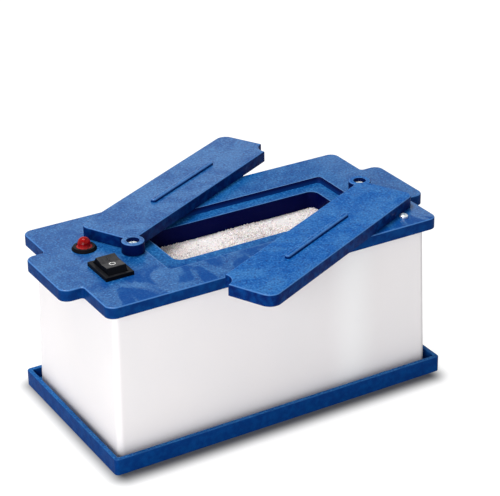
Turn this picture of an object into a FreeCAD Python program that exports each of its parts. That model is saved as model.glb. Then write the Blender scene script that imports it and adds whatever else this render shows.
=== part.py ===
"""Bench sterilizer: a heated bath of quartz granules under two swivelling lids.

Lengths are in millimetres. The origin lies on the table under the middle of
the case, X runs along the case, Y towards its back and Z upwards. The lids
are drawn open, at or near their stop screws, and the rocker is drawn pressed
down at its front.
"""

import FreeCAD, Part
import math
import os

import Sketcher

Vector = FreeCAD.Vector
Z_AXIS = Vector(0, 0, 1)

# Driving dimensions
SIZES = {
    # Base tray
    "trayLength": 194, "trayDepth": 105, "trayTop": 8.8, "trayWall": 2.6,
    "trayFloor": 3, "trayCorner": 2, "trayInnerCorner": 1, "trayEdge": 0.8,
    # Moulded case, which narrows upwards by its draft
    "caseLength": 184, "caseDepth": 92.5, "caseWall": 2.5, "caseDraft": 1.4,
    "caseCorner": 3, "caseTop": 84.3,
    # Columns and long screws that clamp tray, case and top plate together
    "columnX": 83, "columnY": 37.5, "columnRadius": 5, "columnTop": 70,
    "webThickness": 2, "webReach": 6.5, "screwHole": 2.2, "screwShank": 1.95,
    "screwTip": 80, "screwHeadRadius": 3.5, "screwHeadDrop": 1.6,
    "bossRadius": 4.1, "bossHole": 2, "bossHoleTop": 81,
    # Top plate
    "plateLength": 190, "plateDepth": 99, "plateThickness": 6,
    "plateCorner": 5, "plateEdge": 0.9, "tabSpan": 212, "tabWidth": 44,
    "tabCorner": 5, "tabRoot": 1.5,
    # Stepped opening in the plate
    "wellX": 10, "recessLength": 122, "recessDepth": 54.5, "recessDrop": 2.6,
    "recessSlope": 33, "recessCorner": 2.5, "chamberLength": 103,
    "chamberDepth": 35, "chamberCorner": 5, "collarWall": 2.5,
    "collarBottom": 72,
    # Lids
    "pivotSpan": 135.4, "pivotX": 10.9, "pivotY": -0.8, "leftOpen": 28,
    "rightOpen": 26, "lidThickness": 6.2, "lidGap": 0.1, "lidWidth": 33,
    "lidSeam": 0.35, "lidEnd": 0, "lidReach": 136, "lidNearCorner": 5,
    "lidFarCorner": 6, "lidEdge": 0.8, "earRadius": 5.9, "notchRadius": 7.4,
    "lidBore": 2.55, "sinkRadius": 3.3, "sinkDrop": 3.6, "ribCentre": 70.3,
    "ribLength": 57.5, "ribWidth": 3.2, "ribHeight": 1.8,
    # Pivot screws, washers and nuts
    "shoulderRadius": 2.5, "pivotShank": 2, "pivotHole": 2.1,
    "pivotHeadRadius": 2.85, "pivotHead": 1.7, "pivotPlay": 0.05,
    "slotLength": 4, "slotWidth": 0.9, "slotDrop": 1, "washerRadius": 5,
    "washerThickness": 1, "nutFlats": 7, "nutThickness": 3.2, "pivotTail": 1.2,
    # Stop screws, placed for the widest opening of a lid
    "stopAngle": 28, "stopX": 17.5, "stopHead": 2.2, "stopHeight": 1.8, "stopShank": 1.25,
    "stopHole": 1.3, "stopDepth": 5, "stopPlay": 0.05, "stopSlot": 2.8,
    # Rocker switch
    "switchX": -75.6, "switchY": -13.2, "bezelLength": 21, "bezelWidth": 15.4,
    "bezelHeight": 2, "bodyLength": 19, "bodyWidth": 13, "bodyDepth": 22,
    "cutoutPlay": 0.2, "windowLength": 17.6, "windowWidth": 10.8,
    "windowDepth": 10.3, "panelLeft": 2.5, "reliefLength": 28,
    "reliefWidth": 22, "rockerWidth": 10.2, "rockerTilt": 4, "axleBelow": 1,
    "axleRadius": 1, "axleHole": 1.05, "axleReach": 6.3, "bladeWidth": 4.8,
    "bladeThickness": 0.8, "bladeLength": 8, "bladePitch": 7,
    # Pilot lamp
    "lampX": -76.2, "lampY": 15, "lampFlange": 6.4, "lampFlangeTop": 1.6, "lampBody": 5,
    "lampHole": 5.1, "lampDepth": 24, "lampRelief": 9, "lampSeat": 4.2,
    "domeRadius": 3.3, "domeStem": 1.5, "skirtTop": 0.1, "lampNutFlats": 14,
    "lampNutThickness": 3,
    # Granule tank and its heating
    "tankPlay": 0.5, "tankWall": 1, "tankFloor": 24, "tankCorner": 6,
    "flangeLength": 122, "flangeDepth": 67, "flangeScrewX": 48,
    "flangeScrewY": 30.3, "quartzTop": 78, "heaterThickness": 2,
    "heaterBottom": 30, "heaterTop": 64, "bandThickness": 0.8,
    "wadThickness": 8, "wadTop": 70,
    # Thermostat, fuse, terminal block and mains inlet
    "discRadius": 8, "discHeight": 10, "discRelief": 10, "fuseX": 40,
    "fuseRadius": 2, "fuseLength": 12, "fuseRelief": 3.5, "blockX": -76,
    "blockY": 16, "blockLength": 30, "blockWidth": 18, "blockHeight": 13,
    "inletX": -69, "inletZ": 20, "inletHole": 6, "inletBore": 3.6,
    "inletFlange": 8,
}

document = FreeCAD.newDocument("Sterilizer")
sheet = document.addObject("Spreadsheet::Sheet", "Sizes")
for row, (alias, size) in enumerate(SIZES.items(), start=1):
    sheet.set(f"A{row}", alias)
    sheet.set(f"B{row}", str(size))
    sheet.setAlias(f"B{row}", alias)
document.recompute()

# Rules that several sub-parts share
PLATE_TOP = "(Sizes.caseTop + Sizes.plateThickness)"
LID_BOTTOM = f"({PLATE_TOP} + Sizes.lidGap)"
LEFT_PIVOT_X = "(Sizes.pivotX - Sizes.pivotSpan / 2)"
RIGHT_PIVOT_X = "(Sizes.pivotX + Sizes.pivotSpan / 2)"
STOP_Y = "(Sizes.lidWidth + Sizes.stopHead + Sizes.stopPlay)"
AXLE_Z = f"({PLATE_TOP} - Sizes.axleBelow)"
TANK_LENGTH = "(Sizes.chamberLength + 2 * (Sizes.collarWall + Sizes.tankPlay + Sizes.tankWall))"
TANK_DEPTH = "(Sizes.chamberDepth + 2 * (Sizes.collarWall + Sizes.tankPlay + Sizes.tankWall))"

sub_parts = []


def cell(alias):
    """Reads one driving dimension from the sheet."""
    return float(sheet.get(alias))


def keep(item, label):
    """Names a finished sub-part and lists it for export."""
    item.Label = label
    sub_parts.append(item)
    return item


def new_body(name):
    """Starts the body of one sub-part."""
    return document.addObject("PartDesign::Body", name)


def plane_of(body, role):
    """Finds one of a body's own origin planes."""
    return next(item for item in body.Origin.OriginFeatures if item.Role == role)


def new_sketch(body, x="0", y="0", z="0", role="XY_Plane"):
    """Puts an empty sketch on a body's origin plane, moved by three rules."""
    sketch = body.newObject("Sketcher::SketchObject", body.Name + "Sketch")
    sketch.AttachmentSupport = [(plane_of(body, role), "")]
    sketch.MapMode = "FlatFace"
    for axis, rule in zip("xyz", (x, y, z)):
        if rule != "0":
            sketch.setExpression(f"AttachmentOffset.Base.{axis}", rule)
    return sketch


def dimension(sketch, constraint, rule):
    """Adds a sketch dimension that follows a rule."""
    index = sketch.addConstraint(constraint)
    sketch.setExpression(f"Constraints[{index}]", rule)


def draw_rectangle(sketch, length, width, construction=False):
    """Draws a rectangle about the sketch's origin; returns its first line's index."""
    corners = [Vector(-9, -6), Vector(9, -6), Vector(9, 6), Vector(-9, 6)]
    lines = [Part.LineSegment(a, b) for a, b in zip(corners, corners[1:] + corners[:1])]
    first = sketch.addGeometry(lines, construction)[0]
    for side in range(4):
        following = first + (side + 1) % 4
        sketch.addConstraint(Sketcher.Constraint("Coincident", first + side, 2, following, 1))
        direction = "Horizontal" if side % 2 == 0 else "Vertical"
        sketch.addConstraint(Sketcher.Constraint(direction, first + side))
    sketch.addConstraint(Sketcher.Constraint("Symmetric", first, 1, first + 1, 2, -1, 1))
    dimension(sketch, Sketcher.Constraint("DistanceX", first, 1, first, 2, 18.0), length)
    dimension(sketch, Sketcher.Constraint("DistanceY", first + 1, 1, first + 1, 2, 12.0), width)
    return first


def draw_rounded_rectangle(sketch, length, width, corner):
    """Draws a rectangle with four equal round corners about the sketch's origin."""
    sides = [(Vector(-7, -6), Vector(7, -6)), (Vector(9, -4), Vector(9, 4)),
             (Vector(7, 6), Vector(-7, 6)), (Vector(-9, 4), Vector(-9, -4))]
    middles = [Vector(7, -4), Vector(7, 4), Vector(-7, 4), Vector(-7, -4)]
    first = sketch.GeometryCount
    for index, (side, middle) in enumerate(zip(sides, middles)):
        sketch.addGeometry(Part.LineSegment(*side), False)
        start = math.radians(90 * index - 90)
        circle = Part.Circle(middle, Z_AXIS, 2.0)
        sketch.addGeometry(Part.ArcOfCircle(circle, start, start + math.pi / 2), False)
        direction = "Horizontal" if index % 2 == 0 else "Vertical"
        sketch.addConstraint(Sketcher.Constraint(direction, first + 2 * index))
    for index in range(8):
        following = first + (index + 1) % 8
        sketch.addConstraint(Sketcher.Constraint("Tangent", first + index, 2, following, 1))
    for arc in (3, 5, 7):
        sketch.addConstraint(Sketcher.Constraint("Equal", first + 1, first + arc))
    sketch.addConstraint(Sketcher.Constraint("Symmetric", first + 1, 3, first + 5, 3, -1, 1))
    dimension(sketch, Sketcher.Constraint("Radius", first + 1, 2.0), corner)
    dimension(sketch, Sketcher.Constraint("DistanceX", first + 6, 1, first + 2, 1, 18.0), length)
    dimension(sketch, Sketcher.Constraint("DistanceY", first, 1, first + 4, 1, 12.0), width)


def draw_circle(sketch, radius):
    """Draws a circle about the sketch's origin."""
    index = sketch.addGeometry(Part.Circle(Vector(0, 0, 0), Z_AXIS, 3.0), False)
    sketch.addConstraint(Sketcher.Constraint("Coincident", index, 3, -1, 1))
    dimension(sketch, Sketcher.Constraint("Radius", index, 3.0), radius)


def draw_corner_circles(sketch, spacing_x, spacing_y, radius):
    """Draws four equal circles on the corners of a rectangle."""
    frame = draw_rectangle(sketch, spacing_x, spacing_y, construction=True)
    for corner in range(4):
        index = sketch.addGeometry(Part.Circle(Vector(corner, 0, 0), Z_AXIS, 2.0), False)
        sketch.addConstraint(Sketcher.Constraint("Coincident", index, 3, frame + corner, 1))
        dimension(sketch, Sketcher.Constraint("Radius", index, 2.0), radius)


def draw_outline(sketch, points):
    """Draws a closed outline through points, each a pair of rules from the origin."""
    count = len(points)
    start = [Vector(10 * (i % 3) + i, 7 * i, 0) for i in range(count)]
    lines = [Part.LineSegment(start[i], start[(i + 1) % count]) for i in range(count)]
    first = sketch.addGeometry(lines, False)[0]
    for i in range(count):
        joined = first + (i + 1) % count
        sketch.addConstraint(Sketcher.Constraint("Coincident", first + i, 2, joined, 1))
    for i, (across, along) in enumerate(points):
        for kind, rule in (("DistanceX", across), ("DistanceY", along)):
            dimension(sketch, Sketcher.Constraint(kind, -1, 1, first + i, 1, 1.0), rule)


def pad(body, sketch, length, down=False, draft=None):
    """Raises a sketch into a solid, narrowing by a draft angle if one is given."""
    feature = body.newObject("PartDesign::Pad", body.Name + "Pad")
    feature.Profile = sketch
    feature.setExpression("Length", length)
    feature.Reversed = down
    if draft:
        feature.setExpression("TaperAngle", f"-{draft}")
    return feature


def pocket(body, sketch, depth=None, up=False, slope=None):
    """Cuts a sketch into the solid: down from it, or up, or right through."""
    feature = body.newObject("PartDesign::Pocket", body.Name + "Pocket")
    feature.Profile = sketch
    feature.Reversed = up
    if depth is None:
        feature.Type = 1
    else:
        feature.setExpression("Length", depth)
    if slope:
        feature.setExpression("TaperAngle", f"-{slope}")
    return feature


def revolve(body, sketch):
    """Turns a sketch on the XZ plane about the body's Z axis."""
    feature = body.newObject("PartDesign::Revolution", body.Name + "Turned")
    feature.Profile = sketch
    feature.ReferenceAxis = (sketch, ["V_Axis"])
    feature.Angle = 360
    return feature


def edges_where(feature, test):
    """Names the edges of a feature whose end points all pass a test."""
    document.recompute()
    names = []
    for index, edge in enumerate(feature.Shape.Edges, start=1):
        if all(test(vertex.Point) for vertex in edge.Vertexes):
            names.append(f"Edge{index}")
    return names


def upright_edges(feature, test):
    """Names the edges that run up or down and pass a test."""
    document.recompute()
    names = []
    for index, edge in enumerate(feature.Shape.Edges, start=1):
        ends = [vertex.Point for vertex in edge.Vertexes]
        if len(ends) == 2 and abs(ends[0].z - ends[1].z) > 0.9 * edge.Length:
            if test(ends[0]):
                names.append(f"Edge{index}")
    return names


def fillet(body, feature, edges, radius):
    """Rounds the named edges of a feature."""
    rounded = body.newObject("PartDesign::Fillet", body.Name + "Fillet")
    rounded.Base = (feature, edges)
    rounded.setExpression("Radius", radius)
    return rounded


def near(value, target):
    """Tells whether two lengths agree."""
    return abs(value - target) < 0.01


def place(item, x="0", y="0", z="0"):
    """Moves an item by three rules."""
    for axis, rule in zip("xyz", (x, y, z)):
        if rule != "0":
            item.setExpression(f"Placement.Base.{axis}", rule)
    return item


def box(name, length, width, height, x="0", y="0", z="0"):
    """Makes a block centred on x and y that stands on z."""
    item = document.addObject("Part::Box", name)
    item.setExpression("Length", length)
    item.setExpression("Width", width)
    item.setExpression("Height", height)
    return place(item, f"{x} - ({length}) / 2", f"{y} - ({width}) / 2", z)


def cylinder(name, radius, height, x="0", y="0", z="0"):
    """Makes an upright cylinder that stands on z."""
    item = document.addObject("Part::Cylinder", name)
    item.setExpression("Radius", radius)
    item.setExpression("Height", height)
    return place(item, x, y, z)


def hexagon(name, flats, height, x, y, z):
    """Makes an upright hexagonal prism by its width across flats."""
    item = document.addObject("Part::Prism", name)
    item.Polygon = 6
    item.setExpression("Circumradius", f"({flats}) / 3 ^ 0.5")
    item.setExpression("Height", height)
    return place(item, x, y, z)


def cut(name, base, tool):
    """Takes one item away from another."""
    item = document.addObject("Part::Cut", name)
    item.Base = base
    item.Tool = tool
    return item


def fuse(name, items):
    """Joins items into one."""
    item = document.addObject("Part::MultiFuse", name)
    item.Shapes = items
    return item


def cross_slotted(name, screw, length, x, y, z):
    """Cuts a cross into a screw's head, upwards from z."""
    height = "Sizes.slotDrop + 1"
    slots = [box(name + "SlotAlong", length, "Sizes.slotWidth", height, x=x, y=y, z=z),
             box(name + "SlotAcross", "Sizes.slotWidth", length, height, x=x, y=y, z=z)]
    return cut(name + "Slotted", screw, fuse(name + "Cross", slots))


def group(name, items):
    """Gathers separate solids into one item."""
    item = document.addObject("Part::Compound", name)
    item.Links = items
    return item


def rounded_block(body, length, width, bottom, height, corner, x="0"):
    """Pads a rectangle with round corners."""
    sketch = new_sketch(body, x=x, z=bottom)
    draw_rounded_rectangle(sketch, length, width, corner)
    return pad(body, sketch, height)


def rounded_hollow(body, length, width, top, depth, corner, x="0"):
    """Cuts a rectangle with round corners down from a level, or right through."""
    sketch = new_sketch(body, x=x, z=top)
    draw_rounded_rectangle(sketch, length, width, corner)
    return pocket(body, sketch, depth)


def rounded_ring(name, inner_length, inner_width, wall, bottom, top, corner):
    """Makes a rectangular band around the tank."""
    body = new_body(name)
    rounded_block(body, f"{inner_length} + 2 * {wall}", f"{inner_width} + 2 * {wall}",
                  bottom, f"{top} - ({bottom})", f"{corner} + {wall}", x="Sizes.wellX")
    rounded_hollow(body, inner_length, inner_width, top, None, corner, x="Sizes.wellX")
    return body


def make_tray():
    """Base tray: a shallow pan whose lip stands around the case."""
    body = new_body("BaseTray")
    rounded_block(body, "Sizes.trayLength", "Sizes.trayDepth", "0", "Sizes.trayTop", "Sizes.trayCorner")
    pan = rounded_hollow(body, "Sizes.trayLength - 2 * Sizes.trayWall",
                         "Sizes.trayDepth - 2 * Sizes.trayWall", "Sizes.trayTop",
                         "Sizes.trayTop - Sizes.trayFloor", "Sizes.trayInnerCorner")
    rim = edges_where(pan, lambda point: near(point.z, cell("trayTop")))
    pan = fillet(body, pan, rim, "Sizes.trayEdge")
    sketch = new_sketch(body)
    draw_corner_circles(sketch, "2 * Sizes.columnX", "2 * Sizes.columnY", "Sizes.screwHeadRadius + 0.5")
    pocket(body, sketch, "Sizes.screwHeadDrop", up=True)
    sketch = new_sketch(body, z="Sizes.trayFloor")
    draw_corner_circles(sketch, "2 * Sizes.columnX", "2 * Sizes.columnY", "Sizes.screwHole")
    pocket(body, sketch)
    keep(body, "base_tray")


def make_case():
    """Case: a drafted moulding, open above and below, with four screw columns."""
    body = new_body("CaseShell")
    sketch = new_sketch(body, z="Sizes.trayFloor")
    draw_rectangle(sketch, "Sizes.caseLength", "Sizes.caseDepth")
    block = pad(body, sketch, "Sizes.caseTop - Sizes.trayFloor", draft="Sizes.caseDraft")
    block = fillet(body, block, upright_edges(block, lambda point: True), "Sizes.caseCorner")
    document.recompute()
    ends = [f"Face{index}" for index, face in enumerate(block.Shape.Faces, start=1)
            if abs(face.normalAt(0, 0).z) > 0.999]
    shell = body.newObject("PartDesign::Thickness", "CaseWalls")
    shell.Base = (block, ends)
    shell.setExpression("Value", "Sizes.caseWall")
    shell.Reversed = True
    sketch = new_sketch(body, z="Sizes.trayFloor")
    draw_corner_circles(sketch, "2 * Sizes.columnX", "2 * Sizes.columnY", "Sizes.columnRadius")
    pad(body, sketch, "Sizes.columnTop - Sizes.trayFloor")
    for side in (-1, 1):
        for front in (-1, 1):
            x = f"{side} * (Sizes.columnX + Sizes.webReach / 2)"
            y = f"{front} * Sizes.columnY"
            sketch = new_sketch(body, x=x, y=y, z="Sizes.trayFloor")
            draw_rectangle(sketch, "Sizes.webReach", "Sizes.webThickness")
            pad(body, sketch, "Sizes.columnTop - Sizes.trayFloor")
    sketch = new_sketch(body, z="Sizes.columnTop")
    draw_corner_circles(sketch, "2 * Sizes.columnX", "2 * Sizes.columnY", "Sizes.screwHole")
    pocket(body, sketch)
    hole = cylinder("InletHole", "Sizes.inletHole", "4 * Sizes.caseWall", x="Sizes.inletX",
                    y="Sizes.caseDepth / 2 - 3 * Sizes.caseWall", z="Sizes.inletZ")
    hole.Placement.Rotation = FreeCAD.Rotation(Vector(1, 0, 0), -90)
    keep(cut("Case", body, hole), "housing")


def make_plate():
    """Top plate: tabs at both ends, a stepped opening, and a collar into the tank."""
    body = new_body("TopPlate")
    sketch = new_sketch(body, z="Sizes.caseTop")
    draw_rectangle(sketch, "Sizes.plateLength", "Sizes.plateDepth")
    plate = pad(body, sketch, "Sizes.plateThickness")
    plate = fillet(body, plate, upright_edges(plate, lambda point: True), "Sizes.plateCorner")
    sketch = new_sketch(body, z="Sizes.caseTop")
    draw_rectangle(sketch, "Sizes.tabSpan", "Sizes.tabWidth")
    plate = pad(body, sketch, "Sizes.plateThickness")
    half_span = cell("tabSpan") / 2
    tab_corners = upright_edges(plate, lambda point: near(abs(point.x), half_span))
    plate = fillet(body, plate, tab_corners, "Sizes.tabCorner")
    half_width = cell("tabWidth") / 2
    half_length = cell("plateLength") / 2
    roots = upright_edges(plate, lambda point: near(abs(point.y), half_width)
                          and near(abs(point.x), half_length))
    plate = fillet(body, plate, roots, "Sizes.tabRoot")
    top = cell("caseTop") + cell("plateThickness")
    rim = edges_where(plate, lambda point: near(point.z, top))
    plate = fillet(body, plate, rim, "Sizes.plateEdge")
    rounded_block(body, "Sizes.chamberLength + 2 * Sizes.collarWall",
                  "Sizes.chamberDepth + 2 * Sizes.collarWall", "Sizes.collarBottom",
                  "Sizes.caseTop - Sizes.collarBottom",
                  "Sizes.chamberCorner + Sizes.collarWall", x="Sizes.wellX")
    sketch = new_sketch(body, z="Sizes.columnTop")
    draw_corner_circles(sketch, "2 * Sizes.columnX", "2 * Sizes.columnY", "Sizes.bossRadius")
    pad(body, sketch, "Sizes.caseTop - Sizes.columnTop")
    sketch = new_sketch(body, x="Sizes.wellX", y="Sizes.pivotY", z=PLATE_TOP)
    draw_rectangle(sketch, "Sizes.recessLength", "Sizes.recessDepth")
    recess = pocket(body, sketch, "Sizes.recessDrop", slope="Sizes.recessSlope")
    floor = top - cell("recessDrop")
    slanted = [f"Edge{index}" for index, edge in enumerate(shape_edges(recess), start=1)
               if is_recess_corner(edge, top, floor)]
    recess = fillet(body, recess, slanted, "Sizes.recessCorner")
    rounded_hollow(body, "Sizes.chamberLength", "Sizes.chamberDepth", PLATE_TOP, None,
                   "Sizes.chamberCorner", x="Sizes.wellX")
    add_plate_holes(body)
    keep(body, "top_plate")


def shape_edges(feature):
    """Lists the edges of a feature after it is worked out."""
    document.recompute()
    return feature.Shape.Edges


def is_recess_corner(edge, top, floor):
    """Tells whether an edge runs down a corner of the recess."""
    heights = sorted(vertex.Point.z for vertex in edge.Vertexes)
    return len(heights) == 2 and near(heights[0], floor) and near(heights[1], top)


def add_plate_holes(body):
    """Cuts the plate for its pivots, stops, switch, lamp and long screws."""
    relief = "Sizes.plateThickness - Sizes.panelLeft"
    circles = [(LEFT_PIVOT_X, "Sizes.pivotY", "Sizes.pivotHole"),
               (RIGHT_PIVOT_X, "Sizes.pivotY", "Sizes.pivotHole"),
               ("Sizes.lampX", "Sizes.lampY", "Sizes.lampHole")]
    for x, y, radius in circles:
        sketch = new_sketch(body, x=x, y=y, z=PLATE_TOP)
        draw_circle(sketch, radius)
        pocket(body, sketch)
    sketch = new_sketch(body, x="Sizes.switchX", y="Sizes.switchY", z=PLATE_TOP)
    draw_rectangle(sketch, "Sizes.bodyWidth + Sizes.cutoutPlay", "Sizes.bodyLength + Sizes.cutoutPlay")
    pocket(body, sketch)
    sketch = new_sketch(body, x="Sizes.switchX", y="Sizes.switchY", z="Sizes.caseTop")
    draw_rectangle(sketch, "Sizes.reliefWidth", "Sizes.reliefLength")
    pocket(body, sketch, relief, up=True)
    sketch = new_sketch(body, x="Sizes.lampX", y="Sizes.lampY", z="Sizes.caseTop")
    draw_circle(sketch, "Sizes.lampRelief")
    pocket(body, sketch, relief, up=True)
    sketch = new_sketch(body, z="Sizes.columnTop")
    draw_corner_circles(sketch, "2 * Sizes.columnX", "2 * Sizes.columnY", "Sizes.bossHole")
    pocket(body, sketch, "Sizes.bossHoleTop - Sizes.columnTop", up=True)
    sketch = new_sketch(body, x="Sizes.wellX", z="Sizes.caseTop")
    draw_corner_circles(sketch, "2 * Sizes.flangeScrewX", "2 * Sizes.flangeScrewY", "Sizes.stopHole")
    pocket(body, sketch, "4.5", up=True)
    for turn in (0, 1):
        x, y = stop_place(turn)
        sketch = new_sketch(body, x=x, y=y, z=PLATE_TOP)
        draw_circle(sketch, "Sizes.stopHole")
        pocket(body, sketch, "Sizes.stopDepth")


def stop_place(turn):
    """Gives the rules for a stop screw's place beside its fully open lid."""
    sign = "-1" if turn else "1"
    angle = "(Sizes.stopAngle * 1 deg)"
    across = f"(-Sizes.pivotSpan / 2 + Sizes.stopX * cos({angle}) - {STOP_Y} * sin({angle}))"
    along = f"(Sizes.stopX * sin({angle}) + {STOP_Y} * cos({angle}))"
    return f"Sizes.pivotX + {sign} * {across}", f"Sizes.pivotY + {sign} * {along}"


def make_lid(name, label, turn):
    """Lid: a flap with a pivot ear, a raised finger rib and a notch for the other ear."""
    body = new_body(name)
    middle = "(Sizes.lidReach + Sizes.lidEnd) / 2"
    sketch = new_sketch(body, x=middle, y="(Sizes.lidWidth + Sizes.lidSeam) / 2")
    draw_rectangle(sketch, "Sizes.lidReach - Sizes.lidEnd", "Sizes.lidWidth - Sizes.lidSeam")
    flap = pad(body, sketch, "Sizes.lidThickness")
    outer = cell("lidWidth")
    corner = upright_edges(flap, lambda point: near(point.y, outer)
                           and near(point.x, cell("lidEnd")))
    flap = fillet(body, flap, corner, "Sizes.lidNearCorner")
    corner = upright_edges(flap, lambda point: near(point.y, outer)
                           and near(point.x, cell("lidReach")))
    flap = fillet(body, flap, corner, "Sizes.lidFarCorner")
    sketch = new_sketch(body)
    draw_circle(sketch, "Sizes.earRadius")
    flap = pad(body, sketch, "Sizes.lidThickness")
    sketch = new_sketch(body, x="Sizes.pivotSpan", z="Sizes.lidThickness")
    draw_circle(sketch, "Sizes.notchRadius")
    flap = pocket(body, sketch)
    rim = edges_where(flap, lambda point: near(point.z, cell("lidThickness")))
    flap = fillet(body, flap, rim, "Sizes.lidEdge")
    sketch = new_sketch(body, x="Sizes.ribCentre", y="Sizes.lidWidth / 2", z="Sizes.lidThickness")
    draw_rectangle(sketch, "Sizes.ribLength", "Sizes.ribWidth")
    rib = pad(body, sketch, "Sizes.ribHeight")
    rib = fillet(body, rib, upright_edges(rib, lambda point: on_rib(point)), "Sizes.ribWidth * 0.48")
    crown = cell("lidThickness") + cell("ribHeight")
    rib = fillet(body, rib, edges_where(rib, lambda point: near(point.z, crown)),
                 "Sizes.ribHeight * 0.75")
    sketch = new_sketch(body, z="Sizes.lidThickness")
    draw_circle(sketch, "Sizes.sinkRadius")
    sink = pocket(body, sketch, "Sizes.sinkDrop")
    mouth = [f"Edge{index}" for index, edge in enumerate(shape_edges(sink), start=1)
             if len(edge.Vertexes) == 1 and near(edge.Vertexes[0].Point.z, cell("lidThickness"))
             and near(edge.BoundBox.XLength / 2, cell("sinkRadius"))]
    fillet(body, sink, mouth, "0.3")
    sketch = new_sketch(body, z="Sizes.lidThickness")
    draw_circle(sketch, "Sizes.lidBore")
    pocket(body, sketch)
    body.Placement.Rotation = FreeCAD.Rotation(Z_AXIS, 1)
    opening = ("Sizes.leftOpen", "Sizes.rightOpen")[turn]
    body.setExpression("Placement.Rotation.Angle", f"{opening} * 1 deg + {180 * turn} deg")
    place(body, (LEFT_PIVOT_X, RIGHT_PIVOT_X)[turn], "Sizes.pivotY", LID_BOTTOM)
    keep(body, label)


def on_rib(point):
    """Tells whether a point of a flat lid lies at an end of its rib."""
    half = cell("ribLength") / 2
    return near(abs(point.x - cell("ribCentre")), half) and \
        abs(point.y - cell("lidWidth") / 2) < cell("ribWidth")


def make_pivot_screws():
    """Pivot screws: a cross-slotted head, a shoulder for the lid and a threaded shank."""
    screws = []
    head_z = f"{LID_BOTTOM} + Sizes.lidThickness - Sizes.sinkDrop + Sizes.pivotPlay"
    tail_z = "Sizes.caseTop - Sizes.washerThickness - Sizes.nutThickness - Sizes.pivotTail"
    for side, x in (("Left", LEFT_PIVOT_X), ("Right", RIGHT_PIVOT_X)):
        shank = cylinder(side + "Shank", "Sizes.pivotShank", f"{PLATE_TOP} - ({tail_z})",
                         x=x, y="Sizes.pivotY", z=tail_z)
        shoulder = cylinder(side + "Shoulder", "Sizes.shoulderRadius",
                            f"{head_z} - {PLATE_TOP}", x=x, y="Sizes.pivotY", z=PLATE_TOP)
        head = cylinder(side + "Head", "Sizes.pivotHeadRadius", "Sizes.pivotHead",
                        x=x, y="Sizes.pivotY", z=head_z)
        crown = document.addObject("Part::Fillet", side + "Crown")
        crown.Base = head
        document.recompute()
        highest = max(edge.BoundBox.ZMax for edge in head.Shape.Edges)
        crown.Edges = [(index, 0.7, 0.7) for index, edge in enumerate(head.Shape.Edges, start=1)
                       if near(edge.BoundBox.ZMin, highest)]
        screw = fuse(side + "Screw", [shank, shoulder, crown])
        slot_z = f"{head_z} + Sizes.pivotHead - Sizes.slotDrop"
        screws.append(cross_slotted(side + "Pivot", screw, "Sizes.slotLength", x,
                                    "Sizes.pivotY", slot_z))
    keep(group("PivotScrews", screws), "pivot_screws")


def make_washers_and_nuts():
    """Washers and nuts that hold the pivot screws under the plate."""
    washers = []
    nuts = []
    washer_z = "Sizes.caseTop - Sizes.washerThickness"
    nut_z = f"{washer_z} - Sizes.nutThickness"
    for side, x in (("Left", LEFT_PIVOT_X), ("Right", RIGHT_PIVOT_X)):
        disc = cylinder(side + "Disc", "Sizes.washerRadius", "Sizes.washerThickness",
                        x=x, y="Sizes.pivotY", z=washer_z)
        hole = cylinder(side + "DiscHole", "Sizes.pivotHole", "Sizes.washerThickness",
                        x=x, y="Sizes.pivotY", z=washer_z)
        washers.append(cut(side + "Washer", disc, hole))
        prism = hexagon(side + "Prism", "Sizes.nutFlats", "Sizes.nutThickness", x,
                        "Sizes.pivotY", nut_z)
        hole = cylinder(side + "NutHole", "Sizes.pivotShank + 0.03", "Sizes.nutThickness",
                        x=x, y="Sizes.pivotY", z=nut_z)
        nuts.append(cut(side + "Nut", prism, hole))
    keep(group("PivotWashers", washers), "pivot_washers")
    keep(group("PivotNuts", nuts), "pivot_nuts")


def make_stop_screws():
    """Stop screws: pan heads beside the open lids, which rest against them."""
    screws = []
    for turn, side in enumerate(("Left", "Right")):
        x, y = stop_place(turn)
        body = new_body(side + "Stop")
        sketch = new_sketch(body, role="XZ_Plane")
        draw_outline(sketch, [("0", "-Sizes.stopDepth"), ("Sizes.stopShank", "-Sizes.stopDepth"),
                              ("Sizes.stopShank", "0"), ("Sizes.stopHead", "0"),
                              ("Sizes.stopHead", "Sizes.stopHeight * 0.55"),
                              ("Sizes.stopHead * 0.6", "Sizes.stopHeight"),
                              ("0", "Sizes.stopHeight")])
        revolve(body, sketch)
        place(body, x, y, PLATE_TOP)
        slot_z = f"{PLATE_TOP} + Sizes.stopHeight - Sizes.slotDrop"
        screws.append(cross_slotted(side + "StopScrew", body, "Sizes.stopSlot", x, y, slot_z))
    keep(group("StopScrews", screws), "stop_screws")


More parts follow.
